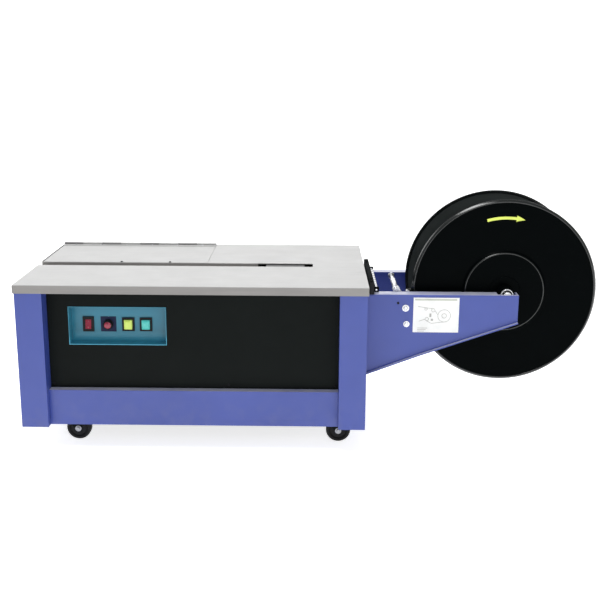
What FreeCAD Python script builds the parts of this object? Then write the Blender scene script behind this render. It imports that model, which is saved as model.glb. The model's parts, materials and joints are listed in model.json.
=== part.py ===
"""Semi automatic strapping machine: cabinet on casters, worktable, sealing head and strap reel.

Millimetres, +Z up. The origin is on the floor at the middle of the machine's length and depth.
+X runs along the table towards the reel, +Y from the operator's side to the back.
"""

import FreeCAD, Part

import math
import os
import Sketcher

# ---------------------------------------------------------------- driving dimensions

DIMENSIONS = {
    # table
    "table_length": 895,
    "table_depth": 565,
    "table_top": 445,
    "table_sheet": 3,
    "fascia_height": 22,
    "fascia_sheet": 2,
    "reel_overhang": 611,
    # cabinet
    "post_width": 69.5,
    "post_depth": 50,
    "post_inset": 3,
    "post_bottom": 66.4,
    "post_lip": 16,
    "frame_sheet": 2.5,
    "rail_height": 95,
    "rail_setback": 25,
    "rail_depth": 25,
    "side_setback": 6,
    "base_level": 90,
    "base_sheet": 3,
    "panel_setback": 47,
    "panel_sheet": 1.5,
    "side_plate_sheet": 3,
    # strap slot and lid, measured from the table's left and front edges
    "slot_front": 245.5,
    "slot_width": 44,
    "slot_corner": 8,
    "slot_end": 754,
    "slot_floor_end": 602,
    "lid_length": 461,
    "lid_sheet": 2.5,
    "lid_strip": 16,
    "lid_flange": 9,
    "leaf_sheet": 1.5,
    "hinge_lift": 4,
    "knuckle_radius": 3.5,
    "hinge_pin_radius": 1.5,
    # control tray
    "tray_left": 128.6,
    "tray_length": 248,
    "tray_bottom": 280,
    "tray_height": 97,
    "tray_depth": 33,
    "tray_lip": 2.2,
    "control_level": 324.5,
    "rocker_place": 171,
    "knob_place": 223,
    "feed_button_place": 275,
    "reset_button_place": 321,
    "button_width": 21.5,
    "button_height": 25.5,
    # reel and its arms
    "arm_front": 105,
    "arm_spacing": 307,
    "arm_sheet": 3,
    "arm_top": 403.4,
    "arm_root": 184,
    "arm_knee_reach": 150,
    "arm_knee": 241,
    "arm_reach": 401,
    "arm_tip": 328.5,
    "arm_flange": 31,
    "arm_lip": 10,
    "arm_bend": 4,
    "saddle_sheet": 6,
    "collar_radius": 17,
    "axle_reach": 372,
    "axle_level": 400.5,
    "axle_radius": 10,
    "reel_radius": 245,
    "reel_front": 163,
    "reel_width": 188,
    "flange_sheet": 4,
    "flange_dish": 8,
    "dish_radius": 107,
    "core_radius": 100,
    # casters
    "caster_place": 99.5,
    "caster_depth": 100,
    "wheel_radius": 32.5,
    "wheel_width": 24,
    "caster_trail": 29.5,
    # clearances
    "running": 0.05,
    "loose": 0.3,
    # sealing head and drive
    "head_place": 678,
    "head_bottom": 340,
    "head_top": 400,
    "cam_level": 295,
    "column_radius": 7,
    "shaft_radius": 10,
    "motor_radius": 62,
    "motor_level": 175,
    "motor_depth": 402.5,
    "small_pulley": 28,
    "large_pulley": 55,
    "belt_sheet": 6,
    "feed_radius": 32,
    "pressure_radius": 20,
    "feed_place": 823,
    "feed_level": 330,
}


class Size:
    """A length that carries its value and the spreadsheet expression it comes from."""

    def __init__(self, value, text):
        self.value = float(value)
        self.text = text

    def __add__(self, other):
        other = size(other)
        return Size(self.value + other.value, f"({self.text} + {other.text})")

    def __sub__(self, other):
        other = size(other)
        return Size(self.value - other.value, f"({self.text} - {other.text})")

    def __mul__(self, factor):
        return Size(self.value * factor, f"({self.text} * {factor})")

    def __truediv__(self, divisor):
        return Size(self.value / divisor, f"({self.text} / {divisor})")

    def __neg__(self):
        return Size(-self.value, f"(-1 * {self.text})")

    __radd__ = __add__

    def __rsub__(self, other):
        return size(other) - self


def size(number):
    return number if isinstance(number, Size) else Size(number, f"({float(number)!r})")


doc = FreeCAD.newDocument("strapping_machine")
sheet = doc.addObject("Spreadsheet::Sheet", "dims")
for row, (alias, number) in enumerate(DIMENSIONS.items(), start=1):
    sheet.set(f"A{row}", alias)
    sheet.set(f"B{row}", str(number))
    sheet.setAlias(f"B{row}", alias)
doc.recompute()


def dim(alias):
    return Size(DIMENSIONS[alias], f"dims.{alias}")


# ---------------------------------------------------------------- modelling helpers

NODES = []


def bind(thing, prop, amount):
    """Bind a property to a size's expression."""
    thing.setExpression(prop, size(amount).text)


def move(thing, x=0, y=0, z=0):
    for letter, amount in zip("xyz", (x, y, z)):
        bind(thing, f"Placement.Base.{letter}", amount)
    return thing


def around(middle, half):
    """The two limits at half a width each side of a middle."""
    return middle - half, middle + half


def grown(limits, margin):
    return limits[0] - margin, limits[1] + margin


def node(thing, label):
    """Register a finished sub-part under the name of its file."""
    thing.Label = label
    NODES.append(thing)
    return thing


def box(x, y, z, name="block"):
    """A block between two limits on each axis."""
    block = doc.addObject("Part::Box", name)
    bind(block, "Length", size(x[1]) - x[0])
    bind(block, "Width", size(y[1]) - y[0])
    bind(block, "Height", size(z[1]) - z[0])
    return move(block, x[0], y[0], z[0])


TURNS = {
    "X": FreeCAD.Rotation(FreeCAD.Vector(0, 1, 0), 90),
    "Y": FreeCAD.Rotation(FreeCAD.Vector(1, 0, 0), -90),
    "Z": FreeCAD.Rotation(),
}


def cylinder(axis, start, radius, length, name="round"):
    """A cylinder from its start point along +axis."""
    rod = doc.addObject("Part::Cylinder", name)
    bind(rod, "Radius", radius)
    bind(rod, "Height", length)
    rod.Placement = FreeCAD.Placement(FreeCAD.Vector(), TURNS[axis])
    return move(rod, *start)


def prism(axis, start, radius, length, name="hexagon"):
    """A hexagonal prism, such as a bolt head, from its start point along +axis."""
    head = doc.addObject("Part::Prism", name)
    head.Polygon = 6
    bind(head, "Circumradius", radius)
    bind(head, "Height", length)
    head.Placement = FreeCAD.Placement(FreeCAD.Vector(), TURNS[axis])
    return move(head, *start)


def fuse(*pieces, name="joined"):
    joined = doc.addObject("Part::MultiFuse", name)
    joined.Shapes = list(pieces)
    joined.Refine = True
    return joined


def cut(base, *tools, name="cut"):
    remains = doc.addObject("Part::Cut", name)
    remains.Base = base
    remains.Tool = tools[0] if len(tools) == 1 else fuse(*tools, name="tools")
    return remains


def group(*pieces, name="group"):
    """Separate solids that share one node."""
    together = doc.addObject("Part::Compound", name)
    together.Links = list(pieces)
    return together


def new_body(name):
    return doc.addObject("PartDesign::Body", name)


def sketch(body, plane, level):
    """A sketch on one of the body's own planes, moved along that plane's normal."""
    drawing = body.newObject("Sketcher::SketchObject", body.Name + "_sketch")
    support = next(f for f in body.Origin.OriginFeatures if f.Role == plane)
    drawing.AttachmentSupport = [(support, "")]
    drawing.MapMode = "FlatFace"
    bind(drawing, "AttachmentOffset.Base.z", level)
    return drawing


def pin_point(drawing, edge, end, point):
    for kind, place in (("DistanceX", point[0]), ("DistanceY", point[1])):
        index = drawing.addConstraint(Sketcher.Constraint(kind, -1, 1, edge, end, size(place).value))
        drawing.setExpression(f"Constraints[{index}]", size(place).text)


def polygon(drawing, points):
    """A closed outline of straight edges through points of bound sizes."""
    places = [FreeCAD.Vector(size(a).value, size(b).value, 0) for a, b in points]
    edges = []
    for start, end in zip(places, places[1:] + places[:1]):
        edges.append(drawing.addGeometry(Part.LineSegment(start, end)))
    for edge, following in zip(edges, edges[1:] + edges[:1]):
        drawing.addConstraint(Sketcher.Constraint("Coincident", edge, 2, following, 1))
    for edge, point in zip(edges, points):
        pin_point(drawing, edge, 1, point)


def rectangle(drawing, across, up):
    polygon(drawing, [(across[0], up[0]), (across[1], up[0]), (across[1], up[1]), (across[0], up[1])])


def circle(drawing, centre, radius):
    place = FreeCAD.Vector(size(centre[0]).value, size(centre[1]).value, 0)
    edge = drawing.addGeometry(Part.Circle(place, FreeCAD.Vector(0, 0, 1), size(radius).value))
    pin_point(drawing, edge, 3, centre)
    index = drawing.addConstraint(Sketcher.Constraint("Radius", edge, size(radius).value))
    drawing.setExpression(f"Constraints[{index}]", size(radius).text)


def pad(body, plane, low, high, draw):
    """Add what draw() outlines, between two levels on the plane's model axis."""
    level = -size(high) if plane == "XZ_Plane" else size(low)
    drawing = sketch(body, plane, level)
    draw(drawing)
    feature = body.newObject("PartDesign::Pad", body.Name + "_pad")
    feature.Profile = drawing
    bind(feature, "Length", size(high) - low)
    body.Tip = feature
    return feature


def pocket(body, plane, low, high, draw):
    """Cut what draw() outlines, between two levels on the plane's model axis."""
    level = -size(low) if plane == "XZ_Plane" else size(high)
    drawing = sketch(body, plane, level)
    draw(drawing)
    doc.recompute()
    before = body.Shape.Volume
    feature = body.newObject("PartDesign::Pocket", body.Name + "_pocket")
    feature.Profile = drawing
    bind(feature, "Length", size(high) - low)
    body.Tip = feature
    doc.recompute()
    if body.Shape.Volume >= before:
        raise SystemExit(f"{feature.Name} cuts nothing")
    return feature


def revolve_y(name, profile, centre):
    """A turned piece about an axis along Y; the profile is (radius, y) points."""
    body = new_body(name)
    drawing = sketch(body, "XY_Plane", 0)
    polygon(drawing, profile)
    feature = body.newObject("PartDesign::Revolution", name + "_turned")
    feature.Profile = drawing
    feature.ReferenceAxis = (drawing, ["V_Axis"])
    feature.Angle = 360
    body.Tip = feature
    return move(body, centre[0], 0, centre[1])


# ---------------------------------------------------------------- shared places

LEFT = -(dim("table_length") + dim("reel_overhang")) / 2
RIGHT = LEFT + dim("table_length")
FRONT = -dim("table_depth") / 2
BACK = dim("table_depth") / 2
TOP = dim("table_top")
UNDER_TABLE = TOP - dim("table_sheet")


def along(distance):
    """A place at this distance from the table's left end."""
    return LEFT + distance


def behind(distance):
    """A place at this distance behind the table's front edge."""
    return FRONT + distance


POST_LOW = dim("post_bottom")
RAIL_TOP = POST_LOW + dim("rail_height")
POST_IN_LEFT = along(dim("post_inset") + dim("post_width"))
POST_IN_RIGHT = RIGHT - dim("post_inset") - dim("post_width")
POST_IN_FRONT = behind(dim("post_inset") + dim("post_depth"))
POST_IN_BACK = -POST_IN_FRONT
BASE_TOP = dim("base_level") + dim("base_sheet")

SLOT_FRONT = behind(dim("slot_front"))
SLOT_BACK = SLOT_FRONT + dim("slot_width")
SLOT_MIDDLE = SLOT_FRONT + dim("slot_width") / 2

ARM_X = RIGHT - dim("side_setback")
AXLE_X = ARM_X + dim("axle_reach")
AXLE = (AXLE_X, dim("axle_level"))


# ---------------------------------------------------------------- cabinet

def corner_post(name, mirror_x, mirror_y):
    """A folded C-shaped post, open towards the cabinet, with two return lips."""
    lip, wall = dim("post_lip"), dim("frame_sheet")
    outer = LEFT + dim("post_inset")
    inner = POST_IN_LEFT
    face = FRONT + dim("post_inset")
    rear = POST_IN_FRONT
    outline = [
        (outer, face), (inner, face), (inner, rear), (inner - lip, rear), (inner - lip, rear - wall),
        (inner - wall, rear - wall), (inner - wall, face + wall), (outer + wall, face + wall),
        (outer + wall, rear - wall), (outer + lip, rear - wall), (outer + lip, rear), (outer, rear),
    ]
    if mirror_x:
        outline = [(LEFT + RIGHT - x, y) for x, y in outline]
    if mirror_y:
        outline = [(x, -y) for x, y in outline]
    post = new_body(name)
    pad(post, "XY_Plane", POST_LOW, UNDER_TABLE, lambda drawing: polygon(drawing, outline))
    return post


def make_posts():
    node(corner_post("front_left_post", False, False), "corner_post_front_left")
    node(corner_post("front_right_post", True, False), "corner_post_front_right")
    rear = [corner_post("rear_left_post", False, True), corner_post("rear_right_post", True, True)]
    node(group(*rear, name="rear_posts"), "corner_posts_rear")


def channel_outline(outer, depth, inwards):
    """A C-section standing on its side, its web at the outer face."""
    wall = dim("frame_sheet") * inwards
    inner = outer + depth * inwards
    low, high, lip = POST_LOW, RAIL_TOP, dim("frame_sheet")
    return [
        (outer, low), (inner, low), (inner, low + lip), (outer + wall, low + lip),
        (outer + wall, high - lip), (inner, high - lip), (inner, high), (outer, high),
    ]


def long_rail(name, outer, inwards):
    rail = new_body(name)
    outline = channel_outline(outer, dim("rail_depth"), inwards)
    pad(rail, "YZ_Plane", POST_IN_LEFT, POST_IN_RIGHT, lambda drawing: polygon(drawing, outline))
    return rail


def side_rail(name, outer, inwards):
    rail = new_body(name)
    outline = channel_outline(outer, dim("rail_depth"), inwards)
    pad(rail, "XZ_Plane", POST_IN_FRONT, POST_IN_BACK, lambda drawing: polygon(drawing, outline))
    return rail


def make_rails():
    setback = dim("rail_setback")
    node(long_rail("front_rail", FRONT + setback, 1), "front_lower_rail")
    node(long_rail("rear_rail", BACK - setback, -1), "rear_lower_rail")
    left = side_rail("left_rail", LEFT + dim("side_setback"), 1)
    right = side_rail("right_rail", RIGHT - dim("side_setback"), -1)
    node(group(left, right, name="side_rails"), "side_lower_rails")


def make_base_plate():
    """A cross-shaped floor plate that reaches into the rails and clears the posts."""
    wall = dim("frame_sheet")
    deep = BACK - dim("rail_setback") - wall
    west = LEFT + dim("side_setback") + wall
    east = RIGHT - dim("side_setback") - wall
    near, far = POST_IN_FRONT, POST_IN_BACK
    outline = [
        (POST_IN_LEFT, -deep), (POST_IN_RIGHT, -deep), (POST_IN_RIGHT, near), (east, near),
        (east, far), (POST_IN_RIGHT, far), (POST_IN_RIGHT, deep), (POST_IN_LEFT, deep),
        (POST_IN_LEFT, far), (west, far), (west, near), (POST_IN_LEFT, near),
    ]
    plate = new_body("base")
    pad(plate, "XY_Plane", dim("base_level"), BASE_TOP, lambda drawing: polygon(drawing, outline))
    node(plate, "base_plate")


TRAY_X = (along(dim("tray_left")), along(dim("tray_left") + dim("tray_length")))
TRAY_Z = (dim("tray_bottom"), dim("tray_bottom") + dim("tray_height"))
PANEL_Y = (behind(dim("panel_setback")), behind(dim("panel_setback") + dim("panel_sheet")))
PANEL_TOP = UNDER_TABLE - 1


def make_front_panel():
    hem = dim("panel_sheet") + 0.3

    def window(drawing):
        rectangle(drawing, grown(TRAY_X, hem), grown(TRAY_Z, hem))

    panel = new_body("front_cover")
    pad(panel, "XZ_Plane", *PANEL_Y,
        lambda drawing: rectangle(drawing, (POST_IN_LEFT, POST_IN_RIGHT), (RAIL_TOP, PANEL_TOP)))
    pocket(panel, "XZ_Plane", *PANEL_Y, window)
    node(panel, "front_panel")


def make_rear_panel():
    """The rear cover, with two banks of cooling slots and the cable gland's hole."""
    low, high = -PANEL_Y[1], -PANEL_Y[0]
    slot_length, slot_height, pitch, count = 120, 5, 14, 8

    def slots(drawing):
        for bank in (200, 575):
            for index in range(count):
                level = 230 + index * pitch
                rectangle(drawing, (along(bank), along(bank + slot_length)), (level, level + slot_height))
        circle(drawing, (along(GLAND_PLACE), GLAND_LEVEL), GLAND_THREAD + 0.3)

    panel = new_body("rear_cover")
    pad(panel, "XZ_Plane", low, high,
        lambda drawing: rectangle(drawing, (POST_IN_LEFT, POST_IN_RIGHT), (RAIL_TOP, PANEL_TOP)))
    pocket(panel, "XZ_Plane", low, high, slots)
    node(panel, "rear_panel")


GLAND_PLACE = 150
GLAND_LEVEL = 195
GLAND_THREAD = 8


def make_cable_gland():
    """The supply cable's gland: a nut each side of the rear cover and a domed cap, bored through."""
    x = along(GLAND_PLACE)
    outside = -PANEL_Y[0]
    inside = -PANEL_Y[1]
    thread = cylinder("Y", (x, inside - 10, GLAND_LEVEL), GLAND_THREAD, 36)
    nut = prism("Y", (x, outside, GLAND_LEVEL), 13, 6)
    lock_nut = prism("Y", (x, inside - 5, GLAND_LEVEL), 12, 5)
    cap = cylinder("Y", (x, outside + 6, GLAND_LEVEL), 10.5, 14)
    bore = cylinder("Y", (x, inside - 12, GLAND_LEVEL), 4, 60)
    node(cut(fuse(thread, nut, lock_nut, cap), bore), "cable_gland")


def make_side_panels():
    left_outer = LEFT + dim("side_setback")
    left = box((left_outer, left_outer + dim("panel_sheet")), (POST_IN_FRONT, POST_IN_BACK),
               (RAIL_TOP, UNDER_TABLE - 10), "left_cover")
    node(left, "left_side_panel")
    right = new_body("right_plate")
    limits = (ARM_X - dim("side_plate_sheet"), ARM_X)
    pad(right, "YZ_Plane", *limits,
        lambda drawing: rectangle(drawing, (POST_IN_FRONT, POST_IN_BACK), (RAIL_TOP, PANEL_TOP)))
    pocket(right, "YZ_Plane", *limits,
           lambda drawing: rectangle(drawing, STRAP_WINDOW_Y, (370, 420)))
    node(right, "right_side_panel")


STRAP_WINDOW_Y = (SLOT_MIDDLE - 34, SLOT_MIDDLE + 34)


# ---------------------------------------------------------------- control tray

FACE_Y = PANEL_Y[0] + dim("tray_depth")


def control_spots():
    """Each control's place on the tray's face, with the width and height of its opening."""
    level = dim("control_level")
    width, height = dim("button_width") + 0.4, dim("button_height") + 0.4
    return {
        "rocker": (along(dim("rocker_place")), level, 15.8, 26.8),
        "feed": (along(dim("feed_button_place")), level, width, height),
        "reset": (along(dim("reset_button_place")), level, width, height),
    }


def opening(drawing, spot, margin=0.0):
    x, z, width, height = spot
    half_width, half_height = size(width) / 2 + margin, size(height) / 2 + margin
    rectangle(drawing, around(x, half_width), around(z, half_height))


def make_control_tray():
    """A deep tray with a lip on the panel's face, and openings for the controls in its floor."""
    wall, lip = dim("panel_sheet"), dim("tray_lip")
    tray = new_body("tray")
    pad(tray, "XZ_Plane", PANEL_Y[0] - wall, PANEL_Y[0],
        lambda drawing: rectangle(drawing, grown(TRAY_X, lip), grown(TRAY_Z, lip)))
    pad(tray, "XZ_Plane", PANEL_Y[0] - wall, FACE_Y + wall,
        lambda drawing: rectangle(drawing, grown(TRAY_X, wall), grown(TRAY_Z, wall)))
    pocket(tray, "XZ_Plane", PANEL_Y[0] - wall, FACE_Y,
           lambda drawing: rectangle(drawing, TRAY_X, TRAY_Z))

    def holes(drawing):
        for spot in control_spots().values():
            opening(drawing, spot)
        circle(drawing, (along(dim("knob_place")), dim("control_level")), 4.2)

    pocket(tray, "XZ_Plane", FACE_Y, FACE_Y + wall, holes)
    node(tray, "control_tray")


ROCKER_Y = FACE_Y - 2
ROCKER_PIN = 1.5


def bezel(name, spot, margin, proud):
    frame = new_body(name)

    def outline(drawing):
        opening(drawing, spot, margin)
        opening(drawing, spot)

    pad(frame, "XZ_Plane", FACE_Y - proud, FACE_Y, outline)
    return frame


def make_bezels():
    """Moulded surrounds of the buttons and of the rocker, with its pin, and the knob's scale plate."""
    spots = control_spots()
    middle, level, width, _ = spots["rocker"]
    start = middle - width / 2 - 1
    pin = cylinder("X", (start, ROCKER_Y, level), ROCKER_PIN, width + 2)
    rocker = fuse(bezel("rocker_bezel", spots["rocker"], 6.5, 4), pin, name="rocker_surround")
    feed = bezel("feed_bezel", spots["feed"], 5, 4)
    reset = bezel("reset_bezel", spots["reset"], 5, 4)
    x, z = along(dim("knob_place")), dim("control_level")
    scale = new_body("knob_scale")

    def outline(drawing):
        rectangle(drawing, (x - 20, x + 20), (z - 20, z + 20))
        circle(drawing, (x, z), 4.2)

    pad(scale, "XZ_Plane", FACE_Y - 1, FACE_Y, outline)
    node(group(rocker, feed, reset, scale, name="bezels"), "control_bezels")


def make_rocker():
    """The power switch's rocker, bored for its pin; its front faces meet in a shallow V."""
    x, z, width, _ = control_spots()["rocker"]
    half = size(width) / 2 - 0.4
    rocker = new_body("rocker")
    outline = [(-2, 12.2), (-4, 0), (-6, -12.2), (1, -10.5), (5, -3), (5, 3), (1, 10.5)]
    points = [(FACE_Y - 1 + y, z + up) for y, up in outline]
    pad(rocker, "YZ_Plane", x - half, x + half, lambda drawing: polygon(drawing, points))
    pocket(rocker, "YZ_Plane", x - half, x + half,
           lambda drawing: circle(drawing, (ROCKER_Y, z), ROCKER_PIN + dim("running")))
    node(rocker, "power_rocker")


def make_knob():
    """The feed-length knob: skirt, gripping cap with a pointer groove, and its shaft."""
    profile = [(0, -15), (10, -15), (11.5, -13.5), (11.5, -5), (13, -4), (13, -1.5), (4, -1.5), (4, 8), (0, 8)]
    points = [(radius, FACE_Y + y) for radius, y in profile]
    centre = (along(dim("knob_place")), dim("control_level"))
    knob = revolve_y("knob", points, centre)
    pocket(knob, "XZ_Plane", FACE_Y - 15, FACE_Y - 13.6,
           lambda drawing: rectangle(drawing, (-0.8, 0.8), (2, 12)))
    node(knob, "feed_length_knob")


def make_buttons():
    for spot, label in (("feed", "feed_button"), ("reset", "reset_button")):
        x, z, _, _ = control_spots()[spot]
        half_width, half_height = dim("button_width") / 2, dim("button_height") / 2
        button = new_body(label + "_cap")
        pad(button, "XZ_Plane", FACE_Y - 8.5, FACE_Y + 0.5,
            lambda drawing: rectangle(drawing, around(x, half_width), around(z, half_height)))
        node(button, label)


# ---------------------------------------------------------------- worktable

LID_X = (LEFT, along(dim("lid_length")))
LID_BACK = BACK - dim("lid_strip") - 4
HINGE_Y = BACK - dim("lid_strip") - 1.5
HINGE_Z = TOP + dim("hinge_lift")
LEAF_LOW = TOP - dim("leaf_sheet")


def make_table_plate():
    """The fixed top: one sheet with the strap slot, the lid's cut-out and a folded fascia.

    Behind the lid it leaves a narrow strip, lower by the hinge leaf that lies on it.
    """
    wall = dim("fascia_sheet")
    low = TOP - dim("fascia_height")
    lid_edge = LID_X[1] + 0.4
    strip = BACK - dim("lid_strip")
    plate = new_body("top_sheet")
    outline = [
        (LEFT, FRONT), (RIGHT, FRONT), (RIGHT, BACK), (lid_edge, BACK),
        (lid_edge, SLOT_FRONT), (LEFT, SLOT_FRONT),
    ]
    pad(plate, "XY_Plane", UNDER_TABLE, TOP, lambda drawing: polygon(drawing, outline))
    pad(plate, "XY_Plane", UNDER_TABLE, LEAF_LOW,
        lambda drawing: rectangle(drawing, (LEFT, lid_edge), (strip, BACK)))
    fascia = [
        (LEFT, SLOT_FRONT), (LEFT, FRONT), (RIGHT, FRONT), (RIGHT, BACK), (LEFT, BACK), (LEFT, strip),
        (LEFT + wall, strip), (LEFT + wall, BACK - wall), (RIGHT - wall, BACK - wall),
        (RIGHT - wall, FRONT + wall), (LEFT + wall, FRONT + wall), (LEFT + wall, SLOT_FRONT),
    ]
    pad(plate, "XY_Plane", low, UNDER_TABLE, lambda drawing: polygon(drawing, fascia))
    corner = dim("slot_corner")
    slot_end = along(dim("slot_end"))
    straight_end = slot_end - corner
    pocket(plate, "XY_Plane", UNDER_TABLE, TOP,
           lambda drawing: rectangle(drawing, (lid_edge - 1, straight_end), (SLOT_FRONT, SLOT_BACK)))
    pocket(plate, "XY_Plane", UNDER_TABLE, TOP, lambda drawing: rectangle(
        drawing, (straight_end - 1, slot_end), (SLOT_FRONT + corner, SLOT_BACK - corner)))
    for side in (SLOT_FRONT + corner, SLOT_BACK - corner):
        pocket(plate, "XY_Plane", UNDER_TABLE, TOP,
               lambda drawing: circle(drawing, (straight_end, side), corner))
    node(plate, "table_plate")


KNUCKLES = 8
KNUCKLE_GAP = 0.5


def knuckle_spans(first):
    """The X limits of every second hinge knuckle."""
    pitch = dim("lid_length") / KNUCKLES
    return [(LEFT + pitch * index + KNUCKLE_GAP, LEFT + pitch * (index + 1) - KNUCKLE_GAP)
            for index in range(first, KNUCKLES, 2)]


def knuckle(span, bore):
    length = span[1] - span[0]
    barrel = cylinder("X", (span[0], HINGE_Y, HINGE_Z), dim("knuckle_radius"), length)
    if bore is None:
        return [barrel], []
    hole = cylinder("X", (span[0] - 1, HINGE_Y, HINGE_Z), bore, length + 2)
    return [barrel], [hole]


def make_lid_hinge():
    """The fixed half of the piano hinge: its leaf on the rear strip, knuckles and the pin."""
    leaf = box(LID_X, (HINGE_Y + 1.5, BACK - 1), (LEAF_LOW, TOP), "fixed_leaf")
    pieces = [leaf]
    for span in knuckle_spans(0):
        barrels, _ = knuckle(span, None)
        link = box(span, (HINGE_Y, HINGE_Y + 3), (LEAF_LOW, HINGE_Z - 2), "link")
        pieces += barrels + [link]
    pieces.append(cylinder("X", (LEFT + 1, HINGE_Y, HINGE_Z), dim("hinge_pin_radius"), dim("lid_length") - 2))
    node(fuse(*pieces, name="hinge_half"), "lid_hinge")


def make_table_lid():
    """The lid behind the slot: a sheet flush with the table, two folded edges and hinge knuckles."""
    wall = dim("fascia_sheet")
    under = TOP - dim("lid_sheet")
    leaf_top = TOP + dim("leaf_sheet")
    sheet_piece = box(LID_X, (SLOT_BACK, LID_BACK), (under, TOP), "lid_sheet")
    left_fold = box((LEFT, LEFT + wall), (SLOT_BACK, LID_BACK), (TOP - dim("fascia_height"), under),
                    "left_fold")
    slot_fold = box(LID_X, (SLOT_BACK, SLOT_BACK + wall), (TOP - dim("lid_flange"), under), "slot_fold")
    leaf = box(LID_X, (HINGE_Y - 20, HINGE_Y - 4), (TOP, leaf_top), "moving_leaf")
    barrels = []
    holes = []
    for span in knuckle_spans(1):
        barrel, hole = knuckle(span, dim("hinge_pin_radius") + dim("running"))
        link = box(span, (HINGE_Y - 5, HINGE_Y), (TOP, leaf_top), "link")
        barrels += barrel + [link]
        holes += hole
    lid = cut(fuse(sheet_piece, left_fold, slot_fold, leaf, *barrels), *holes, name="lid")
    node(lid, "table_lid")


def make_guide_channel():
    """The shallow trough under the strap slot that guides the strap's free end to the head."""
    floor_low = UNDER_TABLE - 8
    front, back = SLOT_FRONT - 2, SLOT_BACK - 0.7
    outline = [
        (front, floor_low), (back, floor_low), (back, TOP - 1), (back - 1.5, TOP - 1),
        (back - 1.5, floor_low + 2), (front + 1.5, floor_low + 2), (front + 1.5, UNDER_TABLE),
        (front, UNDER_TABLE),
    ]
    trough = new_body("trough")
    pad(trough, "YZ_Plane", LEFT + 2.5, along(dim("slot_floor_end")),
        lambda drawing: polygon(drawing, outline))
    node(trough, "strap_guide_channel")


# ---------------------------------------------------------------- reel arms, axle and reel

ARM_FRONT = behind(dim("arm_front"))
ARM_BACK = ARM_FRONT + dim("arm_spacing")
REEL_FRONT = behind(dim("reel_front"))
REEL_BACK = REEL_FRONT + dim("reel_width")


def bend_round(x, corner, inwards):
    """What the outer radius of an arm's top bend takes off the sharp corner."""
    y, z = corner
    radius = dim("arm_bend")
    across = (y - 1, y + radius) if inwards > 0 else (y - radius, y + 1)
    block = box(x, across, (z - radius, z + 1))
    core = cylinder("X", (x[0] - 1, y + radius * inwards, z - radius), radius, x[1] - x[0] + 2)
    return cut(block, core)


def reel_arm(name, outer, inwards):
    """A folded arm: web, inward top flange, outward bottom lip, bolting flange and axle saddle."""
    wall = dim("arm_sheet")
    root, knee, tip = dim("arm_root"), dim("arm_knee"), dim("arm_tip")
    top, flange = dim("arm_top"), dim("arm_flange")
    knee_x, tip_x = ARM_X + dim("arm_knee_reach"), ARM_X + dim("arm_reach")
    inner = outer + wall * inwards

    def span(first, second):
        return (first, second) if inwards > 0 else (second, first)

    arm = new_body(name)
    pad(arm, "XZ_Plane", *span(outer, inner), lambda drawing: polygon(
        drawing, [(ARM_X, root), (knee_x, knee), (tip_x, tip), (tip_x, top), (ARM_X, top)]))
    for limits in ((ARM_X, AXLE_X - 24), (AXLE_X + 24, tip_x)):
        pad(arm, "XZ_Plane", *span(inner, inner + flange * inwards), lambda drawing: rectangle(
            drawing, limits, (top - wall, top)))
    pad(arm, "XZ_Plane", *span(outer - dim("arm_lip") * inwards, outer), lambda drawing: polygon(
        drawing, [(ARM_X, root), (knee_x, knee), (tip_x, tip), (tip_x, tip + wall), (knee_x, knee + wall),
                  (ARM_X, root + wall)]))
    pad(arm, "XZ_Plane", *span(inner, inner + 27 * inwards), lambda drawing: rectangle(
        drawing, (ARM_X, ARM_X + wall), (root + 8, top - wall)))
    saddle = span(inner, inner + dim("saddle_sheet") * inwards)
    pad(arm, "XZ_Plane", *saddle, lambda drawing: rectangle(
        drawing, (AXLE_X - 24, AXLE_X + 24), (AXLE[1] - 28, top)))
    notch = dim("axle_radius") + dim("loose")
    pocket(arm, "XZ_Plane", *saddle, lambda drawing: rectangle(
        drawing, (AXLE_X - notch, AXLE_X + notch), (AXLE[1], top + 1)))
    pocket(arm, "XZ_Plane", *saddle, lambda drawing: circle(drawing, AXLE, notch))
    return cut(arm, bend_round((ARM_X - 1, tip_x + 1), (outer, top), inwards), name=name + "_bent")


def make_arms():
    node(reel_arm("front_arm", ARM_FRONT, 1), "front_reel_arm")
    node(reel_arm("rear_arm", ARM_BACK, -1), "rear_reel_arm")


PIVOT = (ARM_X + 108, 367)


def make_arm_bolts():
    """Bolts of both arms into the side plate, and the hexagon heads on the arms' outer faces."""
    heads = []
    flange_middle = 15
    for side in (ARM_FRONT + flange_middle, ARM_BACK - flange_middle):
        for level in (215, 290, 370):
            heads.append(prism("X", (ARM_X + dim("arm_sheet"), side, level), 8, 5))
    for x, z in (PIVOT, (PIVOT[0] + 3, 324)):
        heads.append(prism("Y", (x, ARM_FRONT - 6, z), 9, 6))
        heads.append(prism("Y", (x, ARM_BACK, z), 9, 6))
    stud = cylinder("Y", (PIVOT[0], ARM_FRONT + dim("arm_sheet"), PIVOT[1]), 6, LEVER_Y[1] - ARM_FRONT)
    heads.append(stud)
    node(group(*heads, name="bolts"), "arm_bolts")


def make_axle():
    """The reel's axle in the arms' saddles, with a fixed collar next to each."""
    seat = dim("arm_sheet") + dim("saddle_sheet") + 0.5
    start, end = ARM_FRONT + dim("arm_sheet") + 0.5, ARM_BACK - dim("arm_sheet") - 0.5
    rod = cylinder("Y", (AXLE_X, start, AXLE[1]), dim("axle_radius"), end - start)
    front_collar = cylinder("Y", (AXLE_X, ARM_FRONT + seat, AXLE[1]), dim("collar_radius"), 7)
    rear_collar = cylinder("Y", (AXLE_X, ARM_BACK - seat - 7, AXLE[1]), dim("collar_radius"), 7)
    node(fuse(rod, front_collar, rear_collar, name="axle"), "reel_axle")


HUB_RADIUS = 20


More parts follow.
